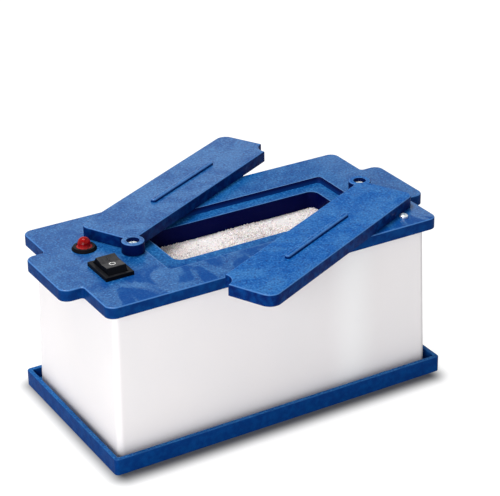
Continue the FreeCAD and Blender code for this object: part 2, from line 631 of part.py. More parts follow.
def make_switch():
    """Rocker switch: a bezel and body in one, its rocker, and its blade terminals."""
    body = new_body("SwitchBody")
    top = f"{PLATE_TOP} + Sizes.bezelHeight"
    sketch = new_sketch(body, x="Sizes.switchX", y="Sizes.switchY", z=PLATE_TOP)
    draw_rectangle(sketch, "Sizes.bezelWidth", "Sizes.bezelLength")
    bezel = pad(body, sketch, "Sizes.bezelHeight")
    bezel = fillet(body, bezel, upright_edges(bezel, lambda point: True), "0.5")
    height = cell("caseTop") + cell("plateThickness") + cell("bezelHeight")
    rim = edges_where(bezel, lambda point: near(point.z, height))
    fillet(body, bezel, rim, "0.4")
    sketch = new_sketch(body, x="Sizes.switchX", y="Sizes.switchY", z=PLATE_TOP)
    draw_rectangle(sketch, "Sizes.bodyWidth", "Sizes.bodyLength")
    pad(body, sketch, "Sizes.bodyDepth", down=True)
    sketch = new_sketch(body, x="Sizes.switchX", y="Sizes.switchY", z=top)
    draw_rectangle(sketch, "Sizes.windowWidth", "Sizes.windowLength")
    pocket(body, sketch, "Sizes.windowDepth")
    bearing = cylinder("AxleBearing", "Sizes.axleHole", "2 * Sizes.axleReach + 1",
                       x="Sizes.switchX - Sizes.axleReach - 0.5", y="Sizes.switchY", z=AXLE_Z)
    bearing.Placement.Rotation = FreeCAD.Rotation(Vector(0, 1, 0), 90)
    keep(cut("Switch", body, bearing), "switch_body")
    make_rocker()
    blades = []
    for index in (-1, 0, 1):
        blades.append(box(f"Blade{index + 2}", "Sizes.bladeThickness", "Sizes.bladeWidth",
                          "Sizes.bladeLength", x="Sizes.switchX",
                          y=f"Sizes.switchY + {index} * Sizes.bladePitch",
                          z=f"{PLATE_TOP} - Sizes.bodyDepth - Sizes.bladeLength"))
    keep(group("SwitchTerminals", blades), "switch_terminals")


def make_rocker():
    """Rocker: a block with a shallow valley on top that tips about its axle."""
    body = new_body("RockerBlock")
    sketch = new_sketch(body, role="YZ_Plane", z="-Sizes.rockerWidth / 2")
    draw_outline(sketch, [("-4", "-4"), ("4", "-4"), ("8.5", "-1"),
                          ("8.5", "2"), ("6.1", "6.35"), ("0", "5.4"),
                          ("-6.1", "6.35"), ("-8.5", "2"),
                          ("-8.5", "-1")])
    block = pad(body, sketch, "Sizes.rockerWidth")
    crest = edges_where(block, lambda point: point.z > 6 and abs(point.y) > 6)
    fillet(body, block, crest, "0.5")
    axle = cylinder("RockerAxle", "Sizes.axleRadius", "2 * Sizes.axleReach", x="-Sizes.axleReach")
    axle.Placement.Rotation = FreeCAD.Rotation(Vector(0, 1, 0), 90)
    rocker = fuse("Rocker", [body, axle])
    rocker.Placement.Rotation = FreeCAD.Rotation(Vector(1, 0, 0), 1)
    rocker.setExpression("Placement.Rotation.Angle", "Sizes.rockerTilt * 1 deg")
    keep(place(rocker, "Sizes.switchX", "Sizes.switchY", AXLE_Z), "rocker")


def make_lamp():
    """Pilot lamp: a black holder with a nut below the plate and a domed red lens."""
    holder = new_body("LampHolder")
    sketch = new_sketch(holder, role="XZ_Plane")
    draw_outline(sketch, [("0", "-Sizes.lampDepth"), ("Sizes.lampBody", "-Sizes.lampDepth"),
                          ("Sizes.lampBody", "0"), ("Sizes.lampFlange", "0"),
                          ("Sizes.lampFlange", "Sizes.lampFlangeTop - 1.2"),
                          ("Sizes.lampFlange - 0.9", "Sizes.lampFlangeTop"),
                          ("Sizes.lampSeat", "Sizes.lampFlangeTop"),
                          ("Sizes.lampSeat", "Sizes.lampFlangeTop - 1.4"),
                          ("Sizes.domeRadius", "Sizes.lampFlangeTop - 1.4"),
                          ("Sizes.domeRadius", "-10"), ("0", "-10")])
    revolve(holder, sketch)
    keep(place(holder, "Sizes.lampX", "Sizes.lampY", PLATE_TOP), "lamp_holder")
    keep(make_lens(), "lamp_lens")
    nut_z = "Sizes.caseTop + Sizes.plateThickness - Sizes.panelLeft - Sizes.lampNutThickness"
    prism = hexagon("LampPrism", "Sizes.lampNutFlats", "Sizes.lampNutThickness",
                    "Sizes.lampX", "Sizes.lampY", nut_z)
    hole = cylinder("LampNutHole", "Sizes.lampBody + 0.03", "Sizes.lampNutThickness",
                    x="Sizes.lampX", y="Sizes.lampY", z=nut_z)
    keep(cut("LampNut", prism, hole), "lamp_nut")


def make_lens():
    """Lens: a skirt in the holder's seat under a stem with a round dome."""
    body = new_body("LampLens")
    sketch = new_sketch(body, role="XZ_Plane")
    draw_outline(sketch, [("0", "Sizes.lampFlangeTop - 1.4"),
                          ("Sizes.lampSeat - 0.1", "Sizes.lampFlangeTop - 1.4"),
                          ("Sizes.lampSeat - 0.1", "Sizes.lampFlangeTop + Sizes.skirtTop - 0.4"),
                          ("Sizes.lampSeat - 0.6", "Sizes.lampFlangeTop + Sizes.skirtTop"),
                          ("Sizes.domeRadius", "Sizes.lampFlangeTop + Sizes.skirtTop"),
                          ("Sizes.domeRadius", "Sizes.lampFlangeTop + Sizes.domeStem"),
                          ("0", "Sizes.lampFlangeTop + Sizes.domeStem")])
    revolve(body, sketch)
    dome = document.addObject("Part::Sphere", "LampDome")
    dome.setExpression("Radius", "Sizes.domeRadius")
    place(dome, z="Sizes.lampFlangeTop + Sizes.domeStem")
    lens = fuse("Lens", [body, dome])
    core = cylinder("LensCore", "Sizes.domeRadius - 1.2",
                    "Sizes.lampFlangeTop + Sizes.domeStem + 2", z="-1")
    return place(cut("HollowLens", lens, core), "Sizes.lampX", "Sizes.lampY", PLATE_TOP)


def make_tank():
    """Granule tank: a drawn steel pan whose flange is screwed under the plate."""
    body = new_body("Tank")
    pan = rounded_block(body, TANK_LENGTH, TANK_DEPTH, "Sizes.tankFloor",
                        "Sizes.caseTop - Sizes.tankFloor",
                        "Sizes.tankCorner + Sizes.tankWall", x="Sizes.wellX")
    foot = edges_where(pan, lambda point: near(point.z, cell("tankFloor")))
    fillet(body, pan, foot, "2.5")
    sketch = new_sketch(body, x="Sizes.wellX", z="Sizes.caseTop - Sizes.tankWall")
    draw_rectangle(sketch, "Sizes.flangeLength", "Sizes.flangeDepth")
    pad(body, sketch, "Sizes.tankWall")
    rounded_hollow(body, f"{TANK_LENGTH} - 2 * Sizes.tankWall",
                   f"{TANK_DEPTH} - 2 * Sizes.tankWall", "Sizes.caseTop",
                   "Sizes.caseTop - Sizes.tankFloor - Sizes.tankWall", "Sizes.tankCorner",
                   x="Sizes.wellX")
    sketch = new_sketch(body, x="Sizes.wellX", z="Sizes.caseTop")
    draw_corner_circles(sketch, "2 * Sizes.flangeScrewX", "2 * Sizes.flangeScrewY", "Sizes.stopHole + 0.3")
    pocket(body, sketch)
    keep(body, "tank")
    screws = []
    for index, (side, front) in enumerate(((-1, -1), (1, -1), (-1, 1), (1, 1))):
        x = f"Sizes.wellX + {side} * Sizes.flangeScrewX"
        y = f"{front} * Sizes.flangeScrewY"
        head = cylinder(f"FlangeHead{index}", "Sizes.stopHead + 0.4", "1.8", x=x, y=y,
                        z="Sizes.caseTop - Sizes.tankWall - 1.8")
        shank = cylinder(f"FlangeShank{index}", "Sizes.stopShank", "5", x=x, y=y,
                         z="Sizes.caseTop - Sizes.tankWall")
        screw = fuse(f"FlangeScrew{index}", [head, shank])
        screws.append(cross_slotted(f"Flange{index}", screw, "Sizes.slotLength", x, y,
                                    "Sizes.caseTop - Sizes.tankWall - 2.8"))
    keep(group("TankScrews", screws), "tank_screws")


def make_quartz():
    """Quartz bed: fills the tank and rises a little way into the collar."""
    body = new_body("QuartzBed")
    rounded_block(body, f"{TANK_LENGTH} - 2 * Sizes.tankWall - 0.1",
                  f"{TANK_DEPTH} - 2 * Sizes.tankWall - 0.1",
                  "Sizes.tankFloor + Sizes.tankWall",
                  "Sizes.collarBottom - Sizes.tankFloor - Sizes.tankWall", "Sizes.tankCorner",
                  x="Sizes.wellX")
    rounded_block(body, "Sizes.chamberLength - 0.1", "Sizes.chamberDepth - 0.1",
                  "Sizes.collarBottom - 1", "Sizes.quartzTop - Sizes.collarBottom + 1",
                  "Sizes.chamberCorner", x="Sizes.wellX")
    keep(body, "quartz_bed")


def make_heating():
    """Mica heater and steel band around the tank, in a tub of mineral wool."""
    heater = rounded_ring("Heater", TANK_LENGTH, TANK_DEPTH, "Sizes.heaterThickness",
                          "Sizes.heaterBottom", "Sizes.heaterTop", "Sizes.tankCorner + Sizes.tankWall")
    keep(heater, "heater")
    inner_length = f"({TANK_LENGTH} + 2 * Sizes.heaterThickness)"
    inner_depth = f"({TANK_DEPTH} + 2 * Sizes.heaterThickness)"
    band = rounded_ring("HeaterBand", inner_length, inner_depth, "Sizes.bandThickness",
                        "Sizes.heaterBottom + 4", "Sizes.heaterTop - 4",
                        "Sizes.tankCorner + Sizes.tankWall + Sizes.heaterThickness")
    keep(band, "heater_band")
    body = new_body("Insulation")
    wrap_length = f"({inner_length} + 2 * Sizes.bandThickness)"
    wrap_depth = f"({inner_depth} + 2 * Sizes.bandThickness)"
    rounded_block(body, f"{wrap_length} + 2 * Sizes.wadThickness",
                  f"{wrap_depth} + 2 * Sizes.wadThickness", "Sizes.trayFloor",
                  "Sizes.wadTop - Sizes.trayFloor", "12", x="Sizes.wellX")
    rounded_hollow(body, wrap_length, wrap_depth, "Sizes.wadTop",
                   "Sizes.wadTop - Sizes.tankFloor", "4", x="Sizes.wellX")
    sketch = new_sketch(body, x="Sizes.wellX", z="Sizes.tankFloor")
    draw_circle(sketch, "Sizes.discRelief")
    pocket(body, sketch)
    sketch = new_sketch(body, x="Sizes.fuseX", z="Sizes.tankFloor")
    draw_rectangle(sketch, "Sizes.fuseLength + 4", "2 * Sizes.fuseRelief")
    pocket(body, sketch, "2 * Sizes.fuseRadius + 1")
    keep(body, "insulation")


def make_controls():
    """Thermostat disc and thermal fuse under the tank, and the terminal block."""
    disc = cylinder("ThermostatCup", "Sizes.discRadius", "Sizes.discHeight * 0.4", x="Sizes.wellX",
                    z="Sizes.tankFloor - Sizes.discHeight * 0.4")
    base = cylinder("ThermostatBase", "Sizes.discRadius - 1", "Sizes.discHeight * 0.6", x="Sizes.wellX",
                    z="Sizes.tankFloor - Sizes.discHeight")
    blades = [box(f"ThermostatBlade{side + 1}", "0.8", "4.8", "7",
                  x=f"Sizes.wellX + {side} * 4", z="Sizes.tankFloor - Sizes.discHeight - 7")
              for side in (-1, 1)]
    keep(fuse("Thermostat", [disc, base] + blades), "thermostat")
    fuse_link = cylinder("ThermalFuse", "Sizes.fuseRadius", "Sizes.fuseLength",
                         x="Sizes.fuseX - Sizes.fuseLength / 2", z="Sizes.tankFloor - Sizes.fuseRadius")
    fuse_link.Placement.Rotation = FreeCAD.Rotation(Vector(0, 1, 0), 90)
    keep(fuse_link, "thermal_fuse")
    body = new_body("TerminalBlock")
    sketch = new_sketch(body, x="Sizes.blockX", y="Sizes.blockY", z="Sizes.trayFloor")
    draw_rectangle(sketch, "Sizes.blockWidth", "Sizes.blockLength")
    block = pad(body, sketch, "Sizes.blockHeight")
    fillet(body, block, upright_edges(block, lambda point: True), "1.5")
    for index in (-1, 0, 1):
        for side in (-1, 1):
            sketch = new_sketch(body, x=f"Sizes.blockX + {side} * Sizes.blockWidth / 4",
                                y=f"Sizes.blockY + {index} * Sizes.blockLength * 0.3",
                                z="Sizes.trayFloor + Sizes.blockHeight")
            draw_circle(sketch, "2")
            pocket(body, sketch, "6")
    keep(body, "terminal_block")


def make_grommet():
    """Inlet grommet: a bushed ring gripping the rear wall, with an open bore."""
    body = new_body("InletGrommet")
    sketch = new_sketch(body, role="XZ_Plane")
    draw_outline(sketch, [("Sizes.inletBore", "-3"), ("Sizes.inletFlange", "-3"),
                          ("Sizes.inletFlange", "-1.5"), ("Sizes.inletHole - 0.1", "-1.5"),
                          ("Sizes.inletHole - 0.1", "1.5"), ("Sizes.inletFlange", "1.5"),
                          ("Sizes.inletFlange - 1", "3.5"), ("Sizes.inletBore", "3.5")])
    revolve(body, sketch)
    body.Placement.Rotation = FreeCAD.Rotation(Vector(1, 0, 0), -90)
    wall_middle = "Sizes.caseDepth / 2 - (Sizes.inletZ - Sizes.trayFloor) * tan(Sizes.caseDraft * 1 deg)"
    place(body, "Sizes.inletX", f"{wall_middle} - Sizes.caseWall / 2", "Sizes.inletZ")
    keep(body, "inlet_grommet")


def make_case_screws():
    """Case screws: four long screws from the tray into the plate's bosses."""
    screws = []
    head_z = "Sizes.screwHeadDrop - 1.5"
    for index, (side, front) in enumerate(((-1, -1), (1, -1), (-1, 1), (1, 1))):
        x = f"{side} * Sizes.columnX"
        y = f"{front} * Sizes.columnY"
        head = cylinder(f"CaseHead{index}", "Sizes.screwHeadRadius", "1.5", x=x, y=y, z=head_z)
        shank = cylinder(f"CaseShank{index}", "Sizes.screwShank", "Sizes.screwTip - Sizes.screwHeadDrop",
                         x=x, y=y, z="Sizes.screwHeadDrop")
        screw = fuse(f"CaseScrew{index}", [head, shank])
        screws.append(cross_slotted(f"Case{index}", screw, "Sizes.slotLength", x, y,
                                    f"{head_z} - 1"))
    keep(group("CaseScrews", screws), "case_screws")


def check_document():
    """Stops if any object failed or any sub-part has no sound shape."""
    document.recompute()
    for item in document.Objects:
        if {"Invalid", "Error"} & set(item.State):
            raise RuntimeError(f"{item.Name} ({item.Label}) failed: {item.State}")
    for item in sub_parts:
        if item.Shape.isNull() or not item.Shape.isValid():
            raise RuntimeError(f"{item.Label} has no valid shape")


make_tray()
make_case()
make_plate()
make_lid("LeftLid", "left_lid", 0)
make_lid("RightLid", "right_lid", 1)
make_pivot_screws()
make_washers_and_nuts()
make_stop_screws()
make_switch()
make_lamp()
make_tank()
make_quartz()
make_heating()
make_controls()
make_grommet()
make_case_screws()
check_document()

os.makedirs("parts", exist_ok=True)
for item in sub_parts:
    item.Shape.exportStep(f"parts/{item.Label}.step")
    bounds = item.Shape.BoundBox
    print(f"{item.Label}: {len(item.Shape.Solids)} solids, {item.Shape.Volume:.0f} mm3, "
          f"x {bounds.XMin:.1f} to {bounds.XMax:.1f}, y {bounds.YMin:.1f} to {bounds.YMax:.1f}, "
          f"z {bounds.ZMin:.1f} to {bounds.ZMax:.1f}")
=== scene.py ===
"""Bench sterilizer with a heated bath of quartz granules, set up for a studio picture.

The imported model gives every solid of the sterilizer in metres: X runs along the
case, Y towards its back and Z upwards. This script dresses those solids in
procedural finishes, adds what a solid can't show, such as the loose granules and
the printed mark on the rocker, and sets up the floor, the lamps and the camera.
"""

from __future__ import annotations

import logging
import math
from dataclasses import dataclass
from enum import Enum
from typing import Any, Mapping, Optional, Sequence, Union

import bpy
import numpy as np
from mathutils import Matrix


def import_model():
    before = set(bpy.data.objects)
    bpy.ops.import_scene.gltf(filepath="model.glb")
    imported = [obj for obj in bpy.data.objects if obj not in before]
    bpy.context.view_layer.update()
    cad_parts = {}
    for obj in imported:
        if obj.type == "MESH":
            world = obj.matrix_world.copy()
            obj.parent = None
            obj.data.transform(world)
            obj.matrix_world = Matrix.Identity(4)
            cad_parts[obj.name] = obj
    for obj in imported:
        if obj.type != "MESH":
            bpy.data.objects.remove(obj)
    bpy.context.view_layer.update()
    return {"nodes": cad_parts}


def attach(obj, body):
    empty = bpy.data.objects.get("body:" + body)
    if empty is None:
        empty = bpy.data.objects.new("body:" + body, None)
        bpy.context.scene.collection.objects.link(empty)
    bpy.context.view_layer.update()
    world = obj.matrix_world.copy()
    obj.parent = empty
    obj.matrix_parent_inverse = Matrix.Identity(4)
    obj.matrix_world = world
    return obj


log = logging.getLogger("sterilizer")

Colour = tuple[float, float, float]
Value = Union[float, Sequence[float], "Signal"]

# Heights of the top plate and of the floor of its recess, and places of the lids' pivots.
PLATE_TOP = 0.0903
RECESS_FLOOR = 0.0877
LEFT_PIVOT = (-0.0568, -0.0008)
RIGHT_PIVOT = (0.0786, -0.0008)


class Body(Enum):
    """The bodies that the added pieces ride on."""

    CASE = "case"
    ROCKER = "rocker"


class Slot(Enum):
    """Names of two material slots of the record, which no piece here is given."""

    QUARTZ = "quartz"
    BLACK_PLASTIC = "black_plastic"


class Signal:
    """A value inside a shader, with the arithmetic of a number."""

    def __init__(self, graph: "FinishGraph", socket: bpy.types.NodeSocket) -> None:
        """Wraps an output socket.

        Args:
            graph: The node tree that the socket belongs to.
            socket: The output socket that carries the value.
        """
        self.graph = graph
        self.socket = socket

    def _maths(self, operation: str, first: Value, second: Value) -> "Signal":
        """Adds one Math node."""
        return self.graph.node("ShaderNodeMath", {"operation": operation}, {0: first, 1: second})

    def __add__(self, other: Value) -> "Signal":
        """Adds a value."""
        return self._maths("ADD", self, other)

    def __radd__(self, other: Value) -> "Signal":
        """Adds this value to a number."""
        return self._maths("ADD", other, self)

    def __sub__(self, other: Value) -> "Signal":
        """Takes a value away."""
        return self._maths("SUBTRACT", self, other)

    def __rsub__(self, other: Value) -> "Signal":
        """Takes this value away from a number."""
        return self._maths("SUBTRACT", other, self)

    def __mul__(self, other: Value) -> "Signal":
        """Multiplies by a value."""
        return self._maths("MULTIPLY", self, other)

    def __rmul__(self, other: Value) -> "Signal":
        """Multiplies a number by this value."""
        return self._maths("MULTIPLY", other, self)

    def __pow__(self, other: Value) -> "Signal":
        """Raises to a power."""
        return self._maths("POWER", self, other)

    def magnitude(self) -> "Signal":
        """Drops the sign."""
        return self._maths("ABSOLUTE", self, 0.0)

    def at_least(self, floor: float) -> "Signal":
        """Raises smaller values to a floor."""
        return self._maths("MAXIMUM", self, floor)

    def rise(self, start: float, end: float) -> "Signal":
        """Turns a span of this value into a smooth step.

        Args:
            start: The value at which the step is 0.
            end: The value at which it is 1, which may lie below start.

        Returns:
            The step, held to 0 and 1 outside the span.
        """
        low, high, first, last = (start, end, 0.0, 1.0) if start < end else (end, start, 1.0, 0.0)
        return self.graph.node("ShaderNodeMapRange", {"interpolation_type": "SMOOTHSTEP"},
                               {"Value": self, "From Min": low, "From Max": high,
                                "To Min": first, "To Max": last})


class FinishGraph:
    """The node tree of one finish, built call by call around one Principled shader."""

    def __init__(self, name: str) -> None:
        """Starts an empty material.

        Args:
            name: The material's name.
        """
        self.material = bpy.data.materials.new(name)
        self.material.use_nodes = True
        self.tree = self.material.node_tree
        self.tree.nodes.clear()
        self.shader = self.tree.nodes.new("ShaderNodeBsdfPrincipled")
        output = self.tree.nodes.new("ShaderNodeOutputMaterial")
        self.tree.links.new(self.shader.outputs[0], output.inputs["Surface"])
        self.place = self.node("ShaderNodeTexCoord", output="Object")

    def node(self, kind: str, settings: Optional[Mapping[str, Any]] = None,
             inputs: Optional[Mapping[Union[int, str], Value]] = None,
             output: Union[int, str] = 0) -> Signal:
        """Adds one node.

        Args:
            kind: The node's type.
            settings: Its properties.
            inputs: Values or signals by input name or number.
            output: The output to hand back.

        Returns:
            The chosen output as a signal.
        """
        made = self.tree.nodes.new(kind)
        for name, setting in (settings or {}).items():
            setattr(made, name, setting)
        for key, value in (inputs or {}).items():
            self.feed(made.inputs[key], value)
        return Signal(self, made.outputs[output])

    def feed(self, socket: bpy.types.NodeSocket, value: Value) -> None:
        """Sets an input to a constant or links a signal to it."""
        if isinstance(value, Signal):
            self.tree.links.new(value.socket, socket)
        elif isinstance(value, tuple) and len(value) == 3 and socket.type == "RGBA":
            socket.default_value = (*value, 1.0)
        else:
            socket.default_value = value

    def surface(self, **inputs: Value) -> bpy.types.Material:
        """Feeds the shader; words of an input's name are joined by underscores.

        Returns:
            The finished material.
        """
        for name, value in inputs.items():
            label = name.replace("_", " ").title().replace("Ior", "IOR")
            self.feed(self.shader.inputs[label], value)
        return self.material

    def stretched(self, factors: Sequence[float], shift: Sequence[float] = (0, 0, 0)) -> Signal:
        """Object coordinates scaled by axis, so that a pattern runs long one way."""
        return self.node("ShaderNodeMapping", {},
                         {"Vector": self.place, "Scale": factors, "Location": shift})

    def noise(self, size: float, detail: float = 3.0, rough: float = 0.5,
              warp: float = 0.0, vector: Optional[Signal] = None) -> Signal:
        """Cloudy noise.

        Args:
            size: The width of its patches in metres.
            detail: How many finer layers it has.
            rough: How strong those layers are.
            warp: How much it is bent.
            vector: Coordinates other than the object's own.

        Returns:
            The noise, from 0 to 1 and mostly near 0.5.
        """
        return self.node("ShaderNodeTexNoise", {},
                         {"Vector": vector or self.place, "Scale": 1.0 / size, "Detail": detail,
                          "Roughness": rough, "Distortion": warp})

    def blend(self, factor: Value, first: Value, second: Value) -> Signal:
        """Mixes two colours, from the first at factor 0 to the second at 1."""
        return self.node("ShaderNodeMix", {"data_type": "RGBA"},
                         {0: factor, 6: first, 7: second}, 2)

    def axis(self, name: str) -> Signal:
        """One coordinate of the surface, in metres."""
        return self.node("ShaderNodeSeparateXYZ", {}, {0: self.place}, name)

    def upward(self) -> Signal:
        """How far the surface faces up, from -1 to 1."""
        normal = self.node("ShaderNodeTexCoord", output="Normal")
        return self.node("ShaderNodeSeparateXYZ", {}, {0: normal}, "Z")

    def bump(self, height: Signal, depth: float, under: Optional[Signal] = None) -> Signal:
        """Roughens the surface.

        Args:
            height: The relief, from 0 to 1.
            depth: Its depth in metres.
            under: A coarser relief that it lies on.

        Returns:
            The bent normal.
        """
        inputs: dict[Union[int, str], Value] = {"Height": height, "Distance": depth,
                                                "Strength": 1.0}
        if under is not None:
            inputs["Normal"] = under
        return self.node("ShaderNodeBump", {}, inputs)


@dataclass(frozen=True)
class RoundedHole:
    """A rounded rectangle cut into the top plate, as seen from above.

    Attributes:
        middle: Its centre on X and Y.
        half: Half its length and half its width.
        corner: The radius of its corners.
    """

    middle: tuple[float, float]
    half: tuple[float, float]
    corner: float

    def outside(self, graph: FinishGraph) -> Signal:
        """Distance outside the hole, which is negative within it.

        With p and q the distances beyond the straight sides plus the corner radius r,
        both held to 0 or more, the distance is the square root of p squared plus q
        squared, less r.
        """
        away = [((graph.axis(name) - middle).magnitude() - (half - self.corner)).at_least(0.0)
                for name, middle, half in zip("XY", self.middle, self.half)]
        return (away[0] * away[0] + away[1] * away[1]) ** 0.5 - self.corner


RECESS = RoundedHole((0.010, -0.0008), (0.0610, 0.02725), 0.0025)
CHAMBER = RoundedHole((0.010, 0.0), (0.0515, 0.0175), 0.005)


@dataclass(frozen=True)
class BlueMoulding:
    """Deep blue thermoplastic whose grained upper faces carry a cloudy gloss.

    Hands have polished the upper faces in patches: there they mirror the pale room,
    and between them the plain blue shows. The colour of the upper faces is painted
    lighter than that of the sides, as lit tops, and their paler clouds are partly a
    painted reflection; the sides carry a painted shade. Rounded upper edges carry a
    painted highlight.

    Attributes:
        name: The material's name.
        painted_side_shade: The colour of the sides, painted dark as shade.
        body: The darker colour of the upper faces, painted lighter than the sides as lit tops.
        pale: Their lighter colour, in the polished clouds, partly a painted reflection.
        patch: The width of their clouds in metres.
        polish: The gloss of the brightest clouds.
        contrast: How much duller the others are.
        rim: The height from which rounded upper edges carry a painted highlight.
        painted_edge_highlight: How strong that painted highlight is.
        plate: Whether it is the top plate, with its opening, whose walls and rims carry painted
            shade and highlights, and the dull patches on its front strip, painted as dark
            reflections.
        pivot: Where the ear of a lid stands, whose side gets the darkest painted shade.
    """

    # Colours of the specks, and of painted highlights on edges and rims, painted dark reflections
    # and painted shade on walls and ears.
    LIGHT_FLECK = (0.055, 0.240, 0.570)
    DARK_FLECK = (0.0005, 0.030, 0.170)
    PAINTED_EDGE_HIGHLIGHT = (0.090, 0.250, 0.590)
    PAINTED_DARK_REFLECTION = (0.0004, 0.052, 0.255)
    PAINTED_SHADE_WALL_TOP = (0.0004, 0.004, 0.050)
    PAINTED_SHADE_WALL_FOOT = (0.0006, 0.020, 0.120)
    PAINTED_SHADE_CHAMBER_WALL = (0.0002, 0.0018, 0.046)
    PAINTED_RIM_HIGHLIGHT = (0.130, 0.290, 0.600)
    PAINTED_EAR_SHADE = (0.0002, 0.005, 0.062)

    name: str
    painted_side_shade: Colour = (0.0008, 0.026, 0.140)
    body: Colour = (0.002, 0.078, 0.290)
    pale: Colour = (0.012, 0.125, 0.370)
    patch: float = 0.024
    polish: float = 0.75
    contrast: float = 0.30
    rim: float = PLATE_TOP - 0.0006
    painted_edge_highlight: float = 0.60
    plate: bool = False
    pivot: Optional[tuple[float, float]] = None

    def _mottle(self, graph: FinishGraph, speckle: Signal) -> tuple[Signal, Signal]:
        """The colour and the polish of an upper face, painted lighter than the sides as a lit top:
        patches, clouds and speckle.
        """
        wide = graph.noise(self.patch, detail=2.0, rough=0.5, warp=1.6)
        small = graph.noise(0.0050, detail=3.0, rough=0.6, warp=0.8)
        cloud = (wide * 0.6 + small * 0.4).rise(0.38, 0.62)
        colour = graph.blend(cloud, self.body, self.pale)
        colour = graph.blend(speckle.rise(0.52, 0.68) * 0.60, colour, self.LIGHT_FLECK)
        colour = graph.blend(speckle.rise(0.48, 0.33) * 0.70, colour, self.DARK_FLECK)
        polish = self.polish * (1.0 - self.contrast + self.contrast * cloud)
        if self.plate:
            colour, polish = self._marked(graph, colour, polish)
        return colour, polish

    def _marked(self, graph: FinishGraph, colour: Signal,
                polish: Signal) -> tuple[Signal, Signal]:
        """Varies the plate's gloss by region and lays dull patches on its front strip, darkened as
        painted dark reflections.
        """
        back = graph.axis("Y").rise(-0.034, -0.008)
        left = graph.axis("X").rise(-0.042, -0.066) * (0.3 + 0.7 * back)
        right = graph.axis("X").rise(0.070, 0.090)
        polish = polish * (1.0 - 0.65 * RECESS.outside(graph).rise(0.0, -0.0008))
        polish = polish * (0.45 + 0.55 * left + 0.30 * right)
        strip = graph.axis("Y").rise(-0.016, -0.026)
        streaks = graph.stretched((1.9, 0.8, 1.0), shift=(0.160, 0.2, 0.0))
        marks = graph.noise(0.021, detail=2.0, rough=0.5, warp=1.2, vector=streaks)
        # Dull patches on the front strip, darkened as painted dark reflections.
        bare_and_dark_reflection = marks.rise(0.56, 0.42) * strip
        colour = graph.blend(bare_and_dark_reflection * 0.75, colour, self.PAINTED_DARK_REFLECTION)
        return colour, polish * (1.0 + 0.55 * strip - 1.25 * bare_and_dark_reflection)

    def _stepped_opening(self, graph: FinishGraph, colour: Signal, upward: Signal) -> Signal:
        """Paints shade on the walls of the stepped opening and a highlight on its two upper rim
        edges.
        """
        height = graph.axis("Z")
        from_recess, from_chamber = RECESS.outside(graph), CHAMBER.outside(graph)
        # The walls of the opening are painted dark as shade, darkest at the top of the recess wall
        # and on the chamber wall.
        wall = from_recess.rise(0.0004, 0.0001) * upward.rise(0.90, 0.75)
        painted_wall_shade = graph.blend(height.rise(PLATE_TOP - 0.0005, PLATE_TOP - 0.0023),
                           self.PAINTED_SHADE_WALL_TOP, self.PAINTED_SHADE_WALL_FOOT)
        painted_wall_shade = graph.blend(height.rise(RECESS_FLOOR - 0.0001, RECESS_FLOOR - 0.0005),
                           painted_wall_shade, self.PAINTED_SHADE_CHAMBER_WALL)
        colour = graph.blend(wall, colour, painted_wall_shade)
        # The top rim of the recess and the rim of the chamber get a thin painted highlight,
        # stronger towards the back.
        top = height.rise(PLATE_TOP - 0.0003, PLATE_TOP - 0.0001)
        ledge = (height.rise(RECESS_FLOOR - 0.0007, RECESS_FLOOR - 0.0001)
                 * height.rise(RECESS_FLOOR + 0.0005, RECESS_FLOOR + 0.0001))
        rim_highlights = (from_recess.rise(0.0008, 0.0003) * top
                + from_chamber.rise(0.0008, 0.0003) * ledge)
        rim_highlights = rim_highlights * upward.rise(0.80, 0.95) * (0.25 + 0.35 * graph.axis("Y").rise(-0.015, 0.0))
        return graph.blend(rim_highlights, colour, self.PAINTED_RIM_HIGHLIGHT)

    @staticmethod
    def _ear_side(graph: FinishGraph, upward: Signal, pivot: tuple[float, float]) -> Signal:
        """Where the upright side of a lid's ear is, from its distance to the pivot; that side gets
        painted shade.
        """
        x, y = graph.axis("X") - pivot[0], graph.axis("Y") - pivot[1]
        return ((x * x + y * y) ** 0.5).rise(0.0085, 0.0070) * upward.rise(0.5, 0.2)

    def material(self) -> bpy.types.Material:
        """Builds the finish."""
        graph = FinishGraph(self.name)
        speckle = graph.noise(0.0011, detail=2.0, rough=0.6, warp=0.3)
        face, polish = self._mottle(graph, speckle)
        upward = graph.upward()
        # Upper faces get the mottled colour, painted lighter as lit tops, and the coat of polish;
        # the sides get the painted shade colour.
        handled_and_lit = upward.rise(0.55, 0.95)
        clouds = graph.noise(0.004, detail=3.0, rough=0.6).rise(0.35, 0.70)
        shade = graph.blend(clouds * 0.35, self.painted_side_shade, self.body)
        colour = graph.blend(handled_and_lit, shade, face)
        # Rounded edges near the top get a painted highlight, standing for light caught on their
        # curve.
        near_top = graph.axis("Z").rise(self.rim - 0.0003, self.rim)
        edge = upward.rise(0.30, 0.62) * upward.rise(0.985, 0.90) * near_top
        colour = graph.blend(edge * self.painted_edge_highlight, colour, self.PAINTED_EDGE_HIGHLIGHT)
        if self.plate:
            colour = self._stepped_opening(graph, colour, upward)
        if self.pivot:
            ear = self._ear_side(graph, upward, self.pivot)
            # The upright side of the ear is painted dark as shade.
            colour = graph.blend(ear * 0.9, colour, self.PAINTED_EAR_SHADE)
        haze = graph.noise(0.014, detail=3.0, rough=0.6, warp=1.5).rise(0.30, 0.70)
        sheen = 0.36 + 0.12 * haze + 0.08 * speckle
        swell = graph.bump(graph.noise(0.012, detail=2.0, rough=0.4), 0.00010)
        grain = graph.bump(graph.noise(0.0009, detail=3.0, rough=0.6), 0.00012, swell)
        return graph.surface(base_color=colour, roughness=sheen, ior=1.5, specular_ior_level=0.03,
                             coat_weight=handled_and_lit * polish, coat_roughness=0.26, coat_ior=1.5,
                             normal=grain)


